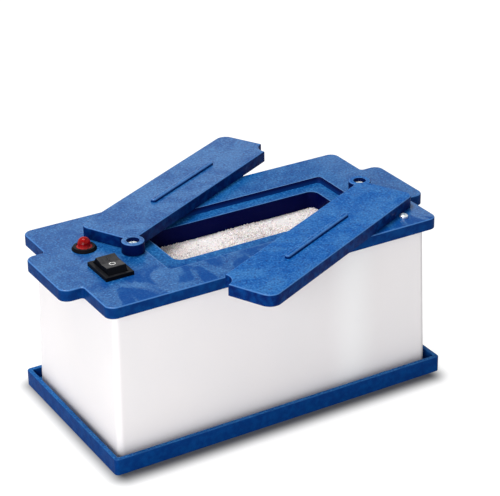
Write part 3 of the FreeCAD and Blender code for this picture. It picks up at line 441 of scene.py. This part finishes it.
@dataclass(frozen=True)
class WhiteMoulding:
    """White case plastic with a soft sheen, sparse flecks and a slightly swollen wall, with a
    painted highlight band down the swelling.
    """

    name: str
    clean: Colour = (0.868, 0.838, 0.843)
    dull: Colour = (0.840, 0.820, 0.832)
    painted_sheen_colour: Colour = (0.95, 0.945, 0.95)
    fleck_colour: Colour = (0.50, 0.48, 0.46)
    ridge_x: float = 0.046
    ridge_half: float = 0.018

    def material(self) -> bpy.types.Material:
        """Builds the finish."""
        graph = FinishGraph(self.name)
        cloud = graph.noise(0.050, detail=2.0, rough=0.5, warp=0.4).rise(0.35, 0.70)
        colour = graph.blend(cloud * 0.5, self.clean, self.dull)
        ridge_and_sheen = (graph.axis("X") - self.ridge_x).magnitude().rise(self.ridge_half, 0.0)
        # A lighter band down the swelling of the wall is a painted highlight.
        colour = graph.blend(ridge_and_sheen * 0.8, colour, self.painted_sheen_colour)
        fleck = graph.noise(0.0009, detail=2.0, rough=0.5).rise(0.745, 0.77)
        colour = graph.blend(fleck * 0.25, colour, self.fleck_colour)
        roughness = 0.34 + 0.10 * cloud + 0.06 * graph.noise(0.0016, detail=3.0)
        wall = graph.bump(ridge_and_sheen + graph.noise(0.05, detail=1.0) * 0.6, 0.00035)
        peel = graph.bump(graph.noise(0.0013, detail=3.0, rough=0.5), 0.00002, wall)
        return graph.surface(base_color=colour, roughness=roughness, ior=1.46, normal=peel)


@dataclass(frozen=True)
class DarkMoulding:
    """Black plastic, polished by fingers on its upper faces, which are painted lighter for wear
    and for a painted sheen.
    """

    name: str
    colour: Colour = (0.0018, 0.0024, 0.0045)
    worn: Colour = (0.010, 0.011, 0.014)
    polish: float = 0.14

    def material(self) -> bpy.types.Material:
        """Builds the finish."""
        graph = FinishGraph(self.name)
        handled_and_lit = graph.noise(0.0035, detail=4.0, rough=0.6, warp=0.5).rise(0.36, 0.66)
        # The worn colour on the upper faces stands for wear and for a painted sheen.
        upper = graph.upward().rise(0.70, 0.97)
        colour = graph.blend(upper * (0.55 + 0.45 * handled_and_lit), self.colour, self.worn)
        grain = graph.bump(graph.noise(0.00045, detail=3.0, rough=0.6), 0.00004)
        return graph.surface(base_color=colour, roughness=0.40 + 0.14 * handled_and_lit, ior=1.5,
                             specular_ior_level=0.05, normal=grain, coat_roughness=0.24,
                             coat_weight=upper * (0.6 + 0.4 * handled_and_lit) * self.polish)


@dataclass(frozen=True)
class RedMoulding:
    """Glossy red moulding of the pilot lamp, with fine flow lines and a paler skirt."""

    name: str
    deep: Colour = (0.17, 0.0004, 0.0006)
    pale: Colour = (0.38, 0.0012, 0.0018)
    skirt: Colour = (0.40, 0.06, 0.06)
    skirt_start: float = 0.0935
    skirt_end: float = 0.0920

    def material(self) -> bpy.types.Material:
        """Builds the finish."""
        graph = FinishGraph(self.name)
        flow = graph.noise(0.0030, detail=1.0, rough=0.5, warp=0.6).rise(0.35, 0.65)
        low = graph.axis("Z").rise(self.skirt_start, self.skirt_end)
        colour = graph.blend(flow, self.deep, self.pale)
        colour = graph.blend(low * 0.4, colour, self.skirt)
        ripple = graph.bump(flow, 0.00002)
        return graph.surface(base_color=colour, roughness=0.12 + 0.04 * flow, ior=1.49,
                             specular_ior_level=0.04, coat_weight=0.18,
                             coat_roughness=0.07, normal=ripple)


@dataclass(frozen=True)
class BareMetal:
    """Plated, drawn or tinned metal with fine lines and a slightly uneven tint.

    Attributes:
        name: The material's name.
        bright: Its lighter colour.
        dull: Its darker colour.
        roughness: That of its brightest parts.
        lines: Scales on X, Y and Z; the lines run along the axis with the smallest.
    """

    name: str
    bright: Colour
    dull: Colour
    roughness: float
    lines: tuple[float, float, float]

    def material(self) -> bpy.types.Material:
        """Builds the finish."""
        graph = FinishGraph(self.name)
        scratch = graph.noise(0.0012, detail=4.0, rough=0.6, vector=graph.stretched(self.lines))
        cloud = graph.noise(0.006, detail=3.0, rough=0.5, warp=0.6).rise(0.35, 0.65)
        colour = graph.blend(cloud * 0.6 + scratch * 0.4, self.bright, self.dull)
        roughness = self.roughness + 0.12 * cloud + 0.10 * scratch
        relief = graph.bump(scratch, 0.00002)
        return graph.surface(base_color=colour, roughness=roughness, metallic=1.0, normal=relief)


@dataclass(frozen=True)
class QuartzGrit:
    """White quartz: milky granules, darkened one by one by their attribute tint."""

    name: str
    milky: Colour = (0.955, 0.890, 0.880)
    stained: Colour = (0.62, 0.53, 0.50)
    dark: Colour = (0.11, 0.085, 0.075)

    def material(self) -> bpy.types.Material:
        """Builds the finish."""
        graph = FinishGraph(self.name)
        tint = graph.node("ShaderNodeAttribute", {"attribute_name": "tint"}, output="Fac")
        vein = graph.noise(0.0007, detail=3.0, rough=0.6).rise(0.40, 0.75)
        drift = graph.noise(0.010, detail=3.0, rough=0.5, warp=0.5).rise(0.50, 0.80)
        colour = graph.blend(vein * 0.18 + drift * 0.12, self.milky, self.stained)
        colour = graph.blend(tint, colour, self.dark)
        facet = graph.bump(graph.noise(0.0005, detail=2.0), 0.00004)
        return graph.surface(base_color=colour, roughness=0.28 + 0.25 * vein, ior=1.54,
                             subsurface_weight=0.12, subsurface_scale=0.0008, normal=facet)


@dataclass(frozen=True)
class GrainedSolid:
    """A matt material with a visible grain: mica, mineral wool, ivory plastic or rubber.

    Attributes:
        name: The material's name.
        colour: Its main colour.
        shade: The darker colour in its grain.
        grain: The width of the grain in metres.
        depth: The depth of the grain in metres.
        roughness: That of its smoothest parts.
    """

    name: str
    colour: Colour
    shade: Colour
    grain: float
    depth: float
    roughness: float

    def material(self) -> bpy.types.Material:
        """Builds the finish."""
        graph = FinishGraph(self.name)
        fibre = graph.noise(self.grain, detail=5.0, rough=0.7, warp=1.2)
        cloud = graph.noise(self.grain * 9.0, detail=3.0)
        colour = graph.blend(fibre.rise(0.3, 0.7) * 0.6 + cloud * 0.4, self.colour, self.shade)
        return graph.surface(base_color=colour, roughness=self.roughness + 0.1 * fibre, ior=1.5,
                             normal=graph.bump(fibre, self.depth))


@dataclass(frozen=True)
class PrintedMark:
    """White pad-printed ink, a little thin in places."""

    name: str
    full: Colour = (0.82, 0.82, 0.80)
    worn: Colour = (0.32, 0.32, 0.32)

    def material(self) -> bpy.types.Material:
        """Builds the finish."""
        graph = FinishGraph(self.name)
        thin = graph.noise(0.0005, detail=3.0, rough=0.6).rise(0.50, 0.75)
        colour = graph.blend(thin * 0.5, self.full, self.worn)
        return graph.surface(base_color=colour, roughness=0.45 + 0.2 * thin, ior=1.45,
                             normal=graph.bump(thin, 0.00002))


@dataclass(frozen=True)
class PaleFloor:
    """White studio floor that glows softly to the camera, except close to the sterilizer.

    With x and y the distances beyond the sides of a box a little smaller than the
    tray, a point lies the square root of x squared plus y squared from it. The glow
    grows to its full strength over the first centimetre or so; its fade paints a dark
    contact shadow at the foot of the tray, over the floor's own shade, which the
    camera sees through a greyer colour. The box is moved a little left and forward,
    where that painted shadow is broader.
    """

    name: str
    glow: float = 0.92
    reach: float = 0.0132
    plain: Colour = (0.86, 0.86, 0.865)
    clouded: Colour = (0.88, 0.88, 0.88)
    seen: Colour = (0.15, 0.15, 0.155)
    half_length: float = 0.0905
    half_depth: float = 0.0505
    left_shift: float = 0.0020
    front_shift: float = 0.0030

    def material(self) -> bpy.types.Material:
        """Builds the finish."""
        graph = FinishGraph(self.name)
        path = graph.node("ShaderNodeLightPath", output="Is Camera Ray")
        cloud = graph.noise(0.25, detail=2.0)
        colour = graph.blend(cloud, self.plain, self.clouded)
        colour = graph.blend(path, colour, self.seen)
        x = ((graph.axis("X") + self.left_shift).magnitude() - self.half_length).at_least(0.0)
        y = ((graph.axis("Y") + self.front_shift).magnitude() - self.half_depth).at_least(0.0)
        apart = (x * x + y * y) ** 0.5
        # The glow fades near the tray, which paints its contact shadow.
        lift = apart.rise(0.0006, self.reach) * self.glow
        glow = graph.blend(path * lift, (0.0, 0.0, 0.0), (1.0, 1.0, 1.0))
        return graph.surface(base_color=colour, roughness=0.7, emission_color=glow,
                             emission_strength=1.0)


class FinishLibrary:
    """All finishes, made once and shared by the pieces."""

    def __init__(self) -> None:
        """Builds every finish."""
        # The side colours of the lids and the tray are painted shade.
        lid: dict[str, Any] = {"painted_side_shade": (0.0004, 0.012, 0.098), "patch": 0.030, "rim": 0.0959}
        self.plate_blue = BlueMoulding("plate_blue", plate=True).material()
        self.left_lid_blue = BlueMoulding("left_lid_blue", pale=(0.020, 0.140, 0.390),
                                          pivot=LEFT_PIVOT, **lid).material()
        self.right_lid_blue = BlueMoulding("right_lid_blue", body=(0.0025, 0.095, 0.375),
                                           pale=(0.010, 0.145, 0.440), polish=0.34, contrast=0.75,
                                           pivot=RIGHT_PIVOT, **lid).material()
        self.tray_blue = BlueMoulding("tray_blue", painted_side_shade=(0.0006, 0.030, 0.160), polish=0.10,
                                      rim=0.0080, painted_edge_highlight=0.15).material()
        self.case_white = WhiteMoulding("case_white").material()
        self.switch_black = DarkMoulding("switch_black").material()
        self.rocker_black = DarkMoulding("rocker_black", worn=(0.018, 0.017, 0.020),
                                         polish=0.75).material()
        self.lens_red = RedMoulding("lens_red").material()
        plating = (1.0, 1.0, 0.2)
        self.pivot_zinc = BareMetal("pivot_zinc_plating", (0.92, 0.97, 1.0), (0.74, 0.80, 0.84),
                                    roughness=0.52, lines=plating).material()
        self.zinc = BareMetal("zinc_plating", (0.90, 0.95, 0.98), (0.70, 0.76, 0.80),
                              roughness=0.28, lines=plating).material()
        self.steel = BareMetal("drawn_steel", (0.60, 0.60, 0.61), (0.42, 0.42, 0.43),
                               roughness=0.28, lines=(1.0, 1.0, 0.08)).material()
        self.tin = BareMetal("tinned_brass", (0.80, 0.72, 0.48), (0.60, 0.50, 0.30),
                             roughness=0.26, lines=(1.0, 0.3, 1.0)).material()
        self.quartz = QuartzGrit("quartz_grit").material()
        self.mica = GrainedSolid("mica_sheet", (0.50, 0.40, 0.26), (0.30, 0.22, 0.13),
                                 grain=0.0015, depth=0.0001, roughness=0.45).material()
        self.wool = GrainedSolid("mineral_wool", (0.66, 0.60, 0.44), (0.42, 0.36, 0.24),
                                 grain=0.0010, depth=0.0006, roughness=0.85).material()
        self.ivory = GrainedSolid("ivory_moulding", (0.72, 0.68, 0.55), (0.62, 0.57, 0.44),
                                  grain=0.0008, depth=0.00004, roughness=0.40).material()
        self.rubber = GrainedSolid("black_rubber", (0.012, 0.012, 0.012), (0.030, 0.029, 0.028),
                                   grain=0.0006, depth=0.00006, roughness=0.60).material()
        self.ink = PrintedMark("white_ink").material()
        self.floor = PaleFloor("pale_floor").material()


def mesh_piece(name: str, points: np.ndarray, faces: np.ndarray, finish: bpy.types.Material,
               smooth: bool = True) -> bpy.types.Object:
    """Puts arrays into a new mesh object at the origin.

    Args:
        name: The piece's name.
        points: Corner places in metres, one row each.
        faces: Corner numbers, one row per face, all of one length.
        finish: The piece's material.
        smooth: Whether its faces shade as one curved surface.

    Returns:
        The linked object.
    """
    mesh = bpy.data.meshes.new(name)
    mesh.from_pydata(points.reshape(-1, 3).tolist(), [], faces.tolist())
    mesh.update()
    mesh.polygons.foreach_set("use_smooth", np.full(len(faces), smooth, dtype=bool))
    mesh.materials.append(finish)
    piece = bpy.data.objects.new(name, mesh)
    bpy.context.scene.collection.objects.link(piece)
    return piece


def grid_faces(rows: int, columns: int, close_rows: bool, close_columns: bool) -> np.ndarray:
    """Numbers the quads of a grid of points.

    Point (i, j) has number i * columns + j, and each quad joins (i, j) to its
    next neighbours, going round to the first row or column where that is closed.

    Args:
        rows: How many rows of points there are.
        columns: How many points a row has.
        close_rows: Whether the last row joins the first.
        close_columns: Whether each row is a loop.

    Returns:
        One row of four point numbers per quad.
    """
    i, j = np.meshgrid(np.arange(rows if close_rows else rows - 1),
                       np.arange(columns if close_columns else columns - 1), indexing="ij")
    below, beside = (i + 1) % rows, (j + 1) % columns
    quads = np.stack([i * columns + j, below * columns + j, below * columns + beside,
                      i * columns + beside], axis=-1)
    return quads.reshape(-1, 4)


@dataclass
class GranuleBath:
    """The loose top layer of the quartz bath.

    Attributes:
        centre_x: The middle of the bath on X; on Y it is 0.
        length: The bath's length.
        depth: Its width from front to back.
        top: The height of the bed under the stones.
        spacing: The distance between neighbouring stones.
        margin: How much shorter and narrower than the bath their grid is.
        proud: How far their centres lie above the bed.
        uneven: How far a single stone may lie above or below the others.
        smallest: The radius of the smallest stone.
        largest: The radius of the largest.
        seed: The start of the random numbers.
    """

    centre_x: float = 0.010
    length: float = 0.103
    depth: float = 0.035
    top: float = 0.0780
    spacing: float = 0.00085
    margin: float = 0.0018
    proud: float = 0.0001
    uneven: float = 0.0002
    smallest: float = 0.00036
    largest: float = 0.00064
    seed: int = 7

    def _stone(self) -> tuple[np.ndarray, np.ndarray]:
        """An icosahedron of radius 1: (0, 1, g) and its turns, with g the golden ratio."""
        g = (1 + 5 ** 0.5) / 2
        corners = np.array([(-1, g, 0), (1, g, 0), (-1, -g, 0), (1, -g, 0),
                            (0, -1, g), (0, 1, g), (0, -1, -g), (0, 1, -g),
                            (g, 0, -1), (g, 0, 1), (-g, 0, -1), (-g, 0, 1)])
        faces = np.array([(0, 11, 5), (0, 5, 1), (0, 1, 7), (0, 7, 10), (0, 10, 11), (1, 5, 9),
                          (5, 11, 4), (11, 10, 2), (10, 7, 6), (7, 1, 8), (3, 9, 4), (3, 4, 2),
                          (3, 2, 6), (3, 6, 8), (3, 8, 9), (4, 9, 5), (2, 4, 11), (6, 2, 10),
                          (8, 6, 7), (9, 8, 1)])
        return corners / np.linalg.norm(corners[0]), faces

    def _places(self, chance: np.random.Generator) -> np.ndarray:
        """Centres of the stones: a jittered grid over a gently uneven surface.

        The surface is the sum of two slow sine waves, 0.3 mm high along the bath and
        0.2 mm high across it.
        """
        columns = int(self.length / self.spacing)
        rows = int(self.depth / self.spacing)
        x, y = np.meshgrid(np.linspace(-0.5, 0.5, columns), np.linspace(-0.5, 0.5, rows))
        flat = np.stack([x.ravel() * (self.length - self.margin),
                         y.ravel() * (self.depth - self.margin)], 1)
        flat += chance.uniform(-0.45, 0.45, flat.shape) * self.spacing
        limit = np.array([self.length, self.depth]) / 2 - self.largest
        flat = np.clip(flat, -limit, limit)
        swell = 0.0003 * np.sin(flat[:, 0] * 130 + 0.8) + 0.0002 * np.cos(flat[:, 1] * 260)
        height = self.top + swell + self.proud
        height += chance.uniform(-self.uneven, self.uneven, len(flat))
        return np.column_stack([flat[:, 0] + self.centre_x, flat[:, 1], height])

    def build(self, finish: bpy.types.Material) -> bpy.types.Object:
        """Scatters the stones as one mesh.

        Each stone is the icosahedron with every corner moved in or out by up to a
        fifth, stretched by three random factors and turned by a random quaternion.
        About one stone in 125 is darkly stained, and the others carry a faint tint.

        Args:
            finish: The quartz material.

        Returns:
            The piece.
        """
        chance = np.random.default_rng(self.seed)
        corners, faces = self._stone()
        centres = self._places(chance)
        count = len(centres)
        shapes = corners[None] * chance.uniform(0.80, 1.20, (count, len(corners), 1))
        shapes *= chance.uniform(0.75, 1.25, (count, 1, 3))
        shapes *= chance.uniform(self.smallest, self.largest, (count, 1, 1))
        quaternions = chance.normal(size=(4, count))
        w, x, y, z = quaternions / np.linalg.norm(quaternions, axis=0)
        turns = np.array([[1 - 2 * (y * y + z * z), 2 * (x * y - w * z), 2 * (x * z + w * y)],
                          [2 * (x * y + w * z), 1 - 2 * (x * x + z * z), 2 * (y * z - w * x)],
                          [2 * (x * z - w * y), 2 * (y * z + w * x), 1 - 2 * (x * x + y * y)]])
        points = np.einsum("abn,ncb->nca", turns, shapes) + centres[:, None]
        numbers = faces[None] + len(corners) * np.arange(count)[:, None, None]
        piece = mesh_piece("quartz_granules", points, numbers.reshape(-1, 3), finish, smooth=False)
        stain = np.where(chance.random(count) > 0.992, chance.uniform(0.4, 0.9, count),
                         0.36 * chance.random(count) ** 3)
        tint = piece.data.attributes.new("tint", "FLOAT", "POINT")
        tint.data.foreach_set("value", np.repeat(stain, len(corners)).astype(np.float32))
        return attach(piece, Body.CASE.value)


@dataclass
class RockerMarks:
    """The generic off and on marks on the rocker's two slopes.

    Attributes:
        centre: The middle of the rocker's axle.
        tilt: How far the rocker is tilted as loaded.
        valley: The height of its middle line above the axle.
        crest: The height of its outer edges above the axle.
        half: Half its length.
        ring_along: How far the ring's middle lies from the valley.
        ring_radius: The ring's radius to the middle of its line.
        ring_half_width: Half the width of that line.
        ring_height: Its height over the slope.
        bar_along: How far the bar's middle lies from the valley.
        bar_half_width: Half the bar's width.
        bar_half_straight: Half the length of its straight part.
    """

    centre: tuple[float, float, float] = (-0.0756, -0.0132, 0.0893)
    tilt: float = math.radians(4.0)
    valley: float = 0.0054
    crest: float = 0.00635
    half: float = 0.0061
    ring_along: float = 0.0018
    ring_radius: float = 0.00145
    ring_half_width: float = 0.00024
    ring_height: float = 0.00006
    bar_along: float = 0.0030
    bar_half_width: float = 0.00032
    bar_half_straight: float = 0.0011

    def _on_slope(self, along: np.ndarray, across: np.ndarray, lift: np.ndarray,
                  side: int) -> np.ndarray:
        """Places flat coordinates on one slope of the rocker.

        A slope rises in a straight line from the valley over the axle to the crest.
        A point lies along that line, across it on X, and lifted off it; the whole
        rocker is then tilted about its axle.

        Args:
            along: Distances from the valley.
            across: Distances from the middle.
            lift: Heights above the slope.
            side: -1 for the front slope and 1 for the back one.

        Returns:
            The points in metres.
        """
        rise = math.atan2(self.crest - self.valley, self.half)
        y = side * (along * math.cos(rise) - lift * math.sin(rise))
        z = self.valley + along * math.sin(rise) + lift * math.cos(rise)
        turned_y = y * math.cos(self.tilt) - z * math.sin(self.tilt)
        turned_z = y * math.sin(self.tilt) + z * math.cos(self.tilt)
        return np.stack([across, turned_y, turned_z], axis=-1) + np.array(self.centre)

    def ring(self, finish: bpy.types.Material) -> bpy.types.Object:
        """The off mark: a ring whose section is a flat ellipse, half sunk in the slope.

        A point at angle a and section angle b lies at radius r + w cos b and height
        h sin b, with r the ring's radius, w half its width and h its height.
        """
        steps, section_steps = 48, 10
        angle, section = np.meshgrid(
            np.linspace(0, 2 * np.pi, steps, endpoint=False),
            np.linspace(0, 2 * np.pi, section_steps, endpoint=False), indexing="ij")
        radius = self.ring_radius + self.ring_half_width * np.cos(section)
        points = self._on_slope(self.ring_along + radius * np.sin(angle), radius * np.cos(angle),
                                self.ring_height * np.sin(section), -1)
        piece = mesh_piece("rocker_off_mark", points,
                           grid_faces(steps, section_steps, True, True), finish)
        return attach(piece, Body.ROCKER.value)

    def bar(self, finish: bpy.types.Material) -> bpy.types.Object:
        """The on mark: a bar with round ends, moulded in relief but not printed.

        Its outline at angle a is w cos a across and w sin a along, moved away from
        the middle by half the straight length, and it is domed by four rings that
        shrink to its middle line as they rise.
        """
        angle = np.linspace(0, 2 * np.pi, 32, endpoint=False)
        ends = np.sign(np.sin(angle)) * self.bar_half_straight
        rings = ((1.0, -0.0001), (1.0, 0.00008), (0.6, 0.00016), (0.02, 0.00018))
        points = []
        for share, lift in rings:
            width = self.bar_half_width * share
            points.append(self._on_slope(self.bar_along + width * np.sin(angle) + ends,
                                         width * np.cos(angle), np.full(len(angle), lift), 1))
        piece = mesh_piece("rocker_on_mark", np.array(points),
                           grid_faces(len(rings), len(angle), False, True), finish)
        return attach(piece, Body.ROCKER.value)


class Sterilizer:
    """The whole object: its dressed solids and the pieces added to them."""

    def __init__(self, nodes: Mapping[str, bpy.types.Object], finishes: FinishLibrary) -> None:
        """Keeps the solids and the finishes.

        Args:
            nodes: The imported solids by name.
            finishes: The library of materials.
        """
        self.nodes = nodes
        self.finishes = finishes

    def dress(self) -> None:
        """Gives every solid its finish."""
        library = self.finishes
        wear: dict[str, bpy.types.Material] = {
            "base_tray": library.tray_blue, "housing": library.case_white,
            "top_plate": library.plate_blue, "left_lid": library.left_lid_blue,
            "right_lid": library.right_lid_blue, "pivot_screws": library.pivot_zinc,
            "pivot_washers": library.zinc, "pivot_nuts": library.zinc,
            "stop_screws": library.zinc, "switch_body": library.switch_black,
            "rocker": library.rocker_black, "switch_terminals": library.tin,
            "lamp_holder": library.switch_black, "lamp_lens": library.lens_red,
            "lamp_nut": library.switch_black, "tank": library.steel,
            "tank_screws": library.zinc, "quartz_bed": library.quartz,
            "heater": library.mica, "heater_band": library.steel,
            "insulation": library.wool, "thermostat": library.steel,
            "thermal_fuse": library.tin, "terminal_block": library.ivory,
            "inlet_grommet": library.rubber, "case_screws": library.zinc}
        for name, solid in self.nodes.items():
            solid.data.materials.clear()
            solid.data.materials.append(wear[name])
            log.info("dressed %s in %s", name, wear[name].name)

    def add_pieces(self) -> None:
        """Adds the granules and the rocker's marks."""
        marks = RockerMarks()
        pieces = [GranuleBath().build(self.finishes.quartz), marks.ring(self.finishes.ink),
                  marks.bar(self.finishes.rocker_black)]
        for piece in pieces:
            log.info("added %s with %d faces", piece.name, len(piece.data.polygons))


@dataclass(frozen=True)
class SoftLamp:
    """A square area lamp that looks at a point, which isn't straight below it."""

    name: str
    place: tuple[float, float, float]
    look: tuple[float, float, float]
    size: float
    watts: float

    def hang(self) -> None:
        """Hangs the lamp."""
        data = bpy.data.lights.new(self.name, "AREA")
        data.shape = "SQUARE"
        data.size = self.size
        data.energy = self.watts
        lamp = bpy.data.objects.new(self.name, data)
        bpy.context.scene.collection.objects.link(lamp)
        back = np.array(self.place) - np.array(self.look)
        back /= np.linalg.norm(back)
        side = np.cross((0.0, 0.0, 1.0), back)
        side /= np.linalg.norm(side)
        lamp.matrix_world = pose_matrix(side, np.cross(back, side), back, self.place)


def pose_matrix(side: np.ndarray, up: np.ndarray, back: np.ndarray,
                place: Sequence[float]) -> Matrix:
    """Sets three directions and a place as the columns of a 4 by 4 matrix."""
    matrix = np.eye(4)
    matrix[:3, 0], matrix[:3, 1], matrix[:3, 2], matrix[:3, 3] = side, up, back, place
    return Matrix(matrix.tolist())


@dataclass(frozen=True)
class StudioCamera:
    """The camera at the picture's viewpoint, for a frame 500 pixels wide.

    It stands at azimuth a and elevation e from its target, in the direction
    (sin a cos e, -cos a cos e, sin e), and is rolled a little about its own axis.
    """

    azimuth: float = math.radians(-30.33)
    elevation: float = math.radians(26.39)
    roll: float = math.radians(-0.82)
    distance: float = 0.9345
    target: tuple[float, float, float] = (0.0106, -0.0008, 0.0743)
    focal_pixels: float = 1799.2
    frame_pixels: float = 500.0
    film: float = 36.0

    def stand(self) -> None:
        """Makes the camera and puts it to use."""
        a, e, r = self.azimuth, self.elevation, self.roll
        back = np.array([math.sin(a) * math.cos(e), -math.cos(a) * math.cos(e), math.sin(e)])
        side = np.array([math.cos(a), math.sin(a), 0.0])
        up = np.cross(back, side)
        place = np.array(self.target) + back * self.distance
        data = bpy.data.cameras.new("studio_camera")
        data.sensor_width = self.film
        data.lens = self.focal_pixels * self.film / self.frame_pixels
        data.clip_start, data.clip_end = 0.01, 20.0
        camera = bpy.data.objects.new("studio_camera", data)
        bpy.context.scene.collection.objects.link(camera)
        camera.matrix_world = pose_matrix(math.cos(r) * side + math.sin(r) * up,
                                          math.cos(r) * up - math.sin(r) * side, back, place)
        bpy.context.scene.camera = camera


class Studio:
    """Floor, surroundings, lamps and camera."""

    HALF_FLOOR = 3.0
    FLOOR_LINES = 7
    FLOOR_GAP = 0.0001
    MATT_FILL = 0.42

    def __init__(self, finishes: FinishLibrary) -> None:
        """Keeps the finishes."""
        self.finishes = finishes

    def floor(self) -> None:
        """A flat square floor of 6 m a side, 0.1 mm under the tray."""
        line = np.linspace(-self.HALF_FLOOR, self.HALF_FLOOR, self.FLOOR_LINES)
        x, y = np.meshgrid(line, line, indexing="ij")
        points = np.stack([x, y, np.full_like(x, -self.FLOOR_GAP)], axis=-1)
        faces = grid_faces(self.FLOOR_LINES, self.FLOOR_LINES, False, False)
        piece = mesh_piece("studio_floor", points, faces, self.finishes.floor)

    def surroundings(self) -> None:
        """White to the camera and in reflections, and a softer fill for matt surfaces."""
        world = bpy.data.worlds.new("pale_room")
        bpy.context.scene.world = world
        world.use_nodes = True
        tree = world.node_tree
        tree.nodes.clear()
        path = tree.nodes.new("ShaderNodeLightPath")
        clear = path.outputs["Is Camera Ray"]
        for kind in ("Is Glossy Ray", "Is Transmission Ray"):
            either = tree.nodes.new("ShaderNodeMath")
            either.operation = "MAXIMUM"
            tree.links.new(clear, either.inputs[0])
            tree.links.new(path.outputs[kind], either.inputs[1])
            clear = either.outputs[0]
        strength = tree.nodes.new("ShaderNodeMapRange")
        tree.links.new(clear, strength.inputs["Value"])
        strength.inputs["To Min"].default_value = self.MATT_FILL
        strength.inputs["To Max"].default_value = 1.0
        background = tree.nodes.new("ShaderNodeBackground")
        tree.links.new(strength.outputs[0], background.inputs["Strength"])
        output = tree.nodes.new("ShaderNodeOutputWorld")
        tree.links.new(background.outputs[0], output.inputs["Surface"])

    def lamps(self) -> None:
        """A lamp overhead, a little to the back, and a broad one from the left front."""
        aim = (0.0, 0.0, 0.05)
        for lamp in (SoftLamp("overhead", (-0.16, 0.24, 1.15), aim, size=0.40, watts=8.8),
                     SoftLamp("front_fill", (-1.07, -0.87, 0.42), aim, size=0.90, watts=13.2)):
            lamp.hang()
            log.info("hung %s at %s", lamp.name, lamp.place)

    def set_up(self) -> None:
        """Makes the whole studio."""
        self.floor()
        self.surroundings()
        self.lamps()
        StudioCamera().stand()
        bpy.context.scene.view_settings.view_transform = "Standard"


def main() -> None:
    """Loads the solids, dresses them and sets up the picture."""
    logging.basicConfig(level=logging.INFO, format="%(name)s: %(message)s")
    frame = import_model()
    finishes = FinishLibrary()
    sterilizer = Sterilizer(frame["nodes"], finishes)
    sterilizer.dress()
    sterilizer.add_pieces()
    Studio(finishes).set_up()


if __name__ == "__main__":
    main()
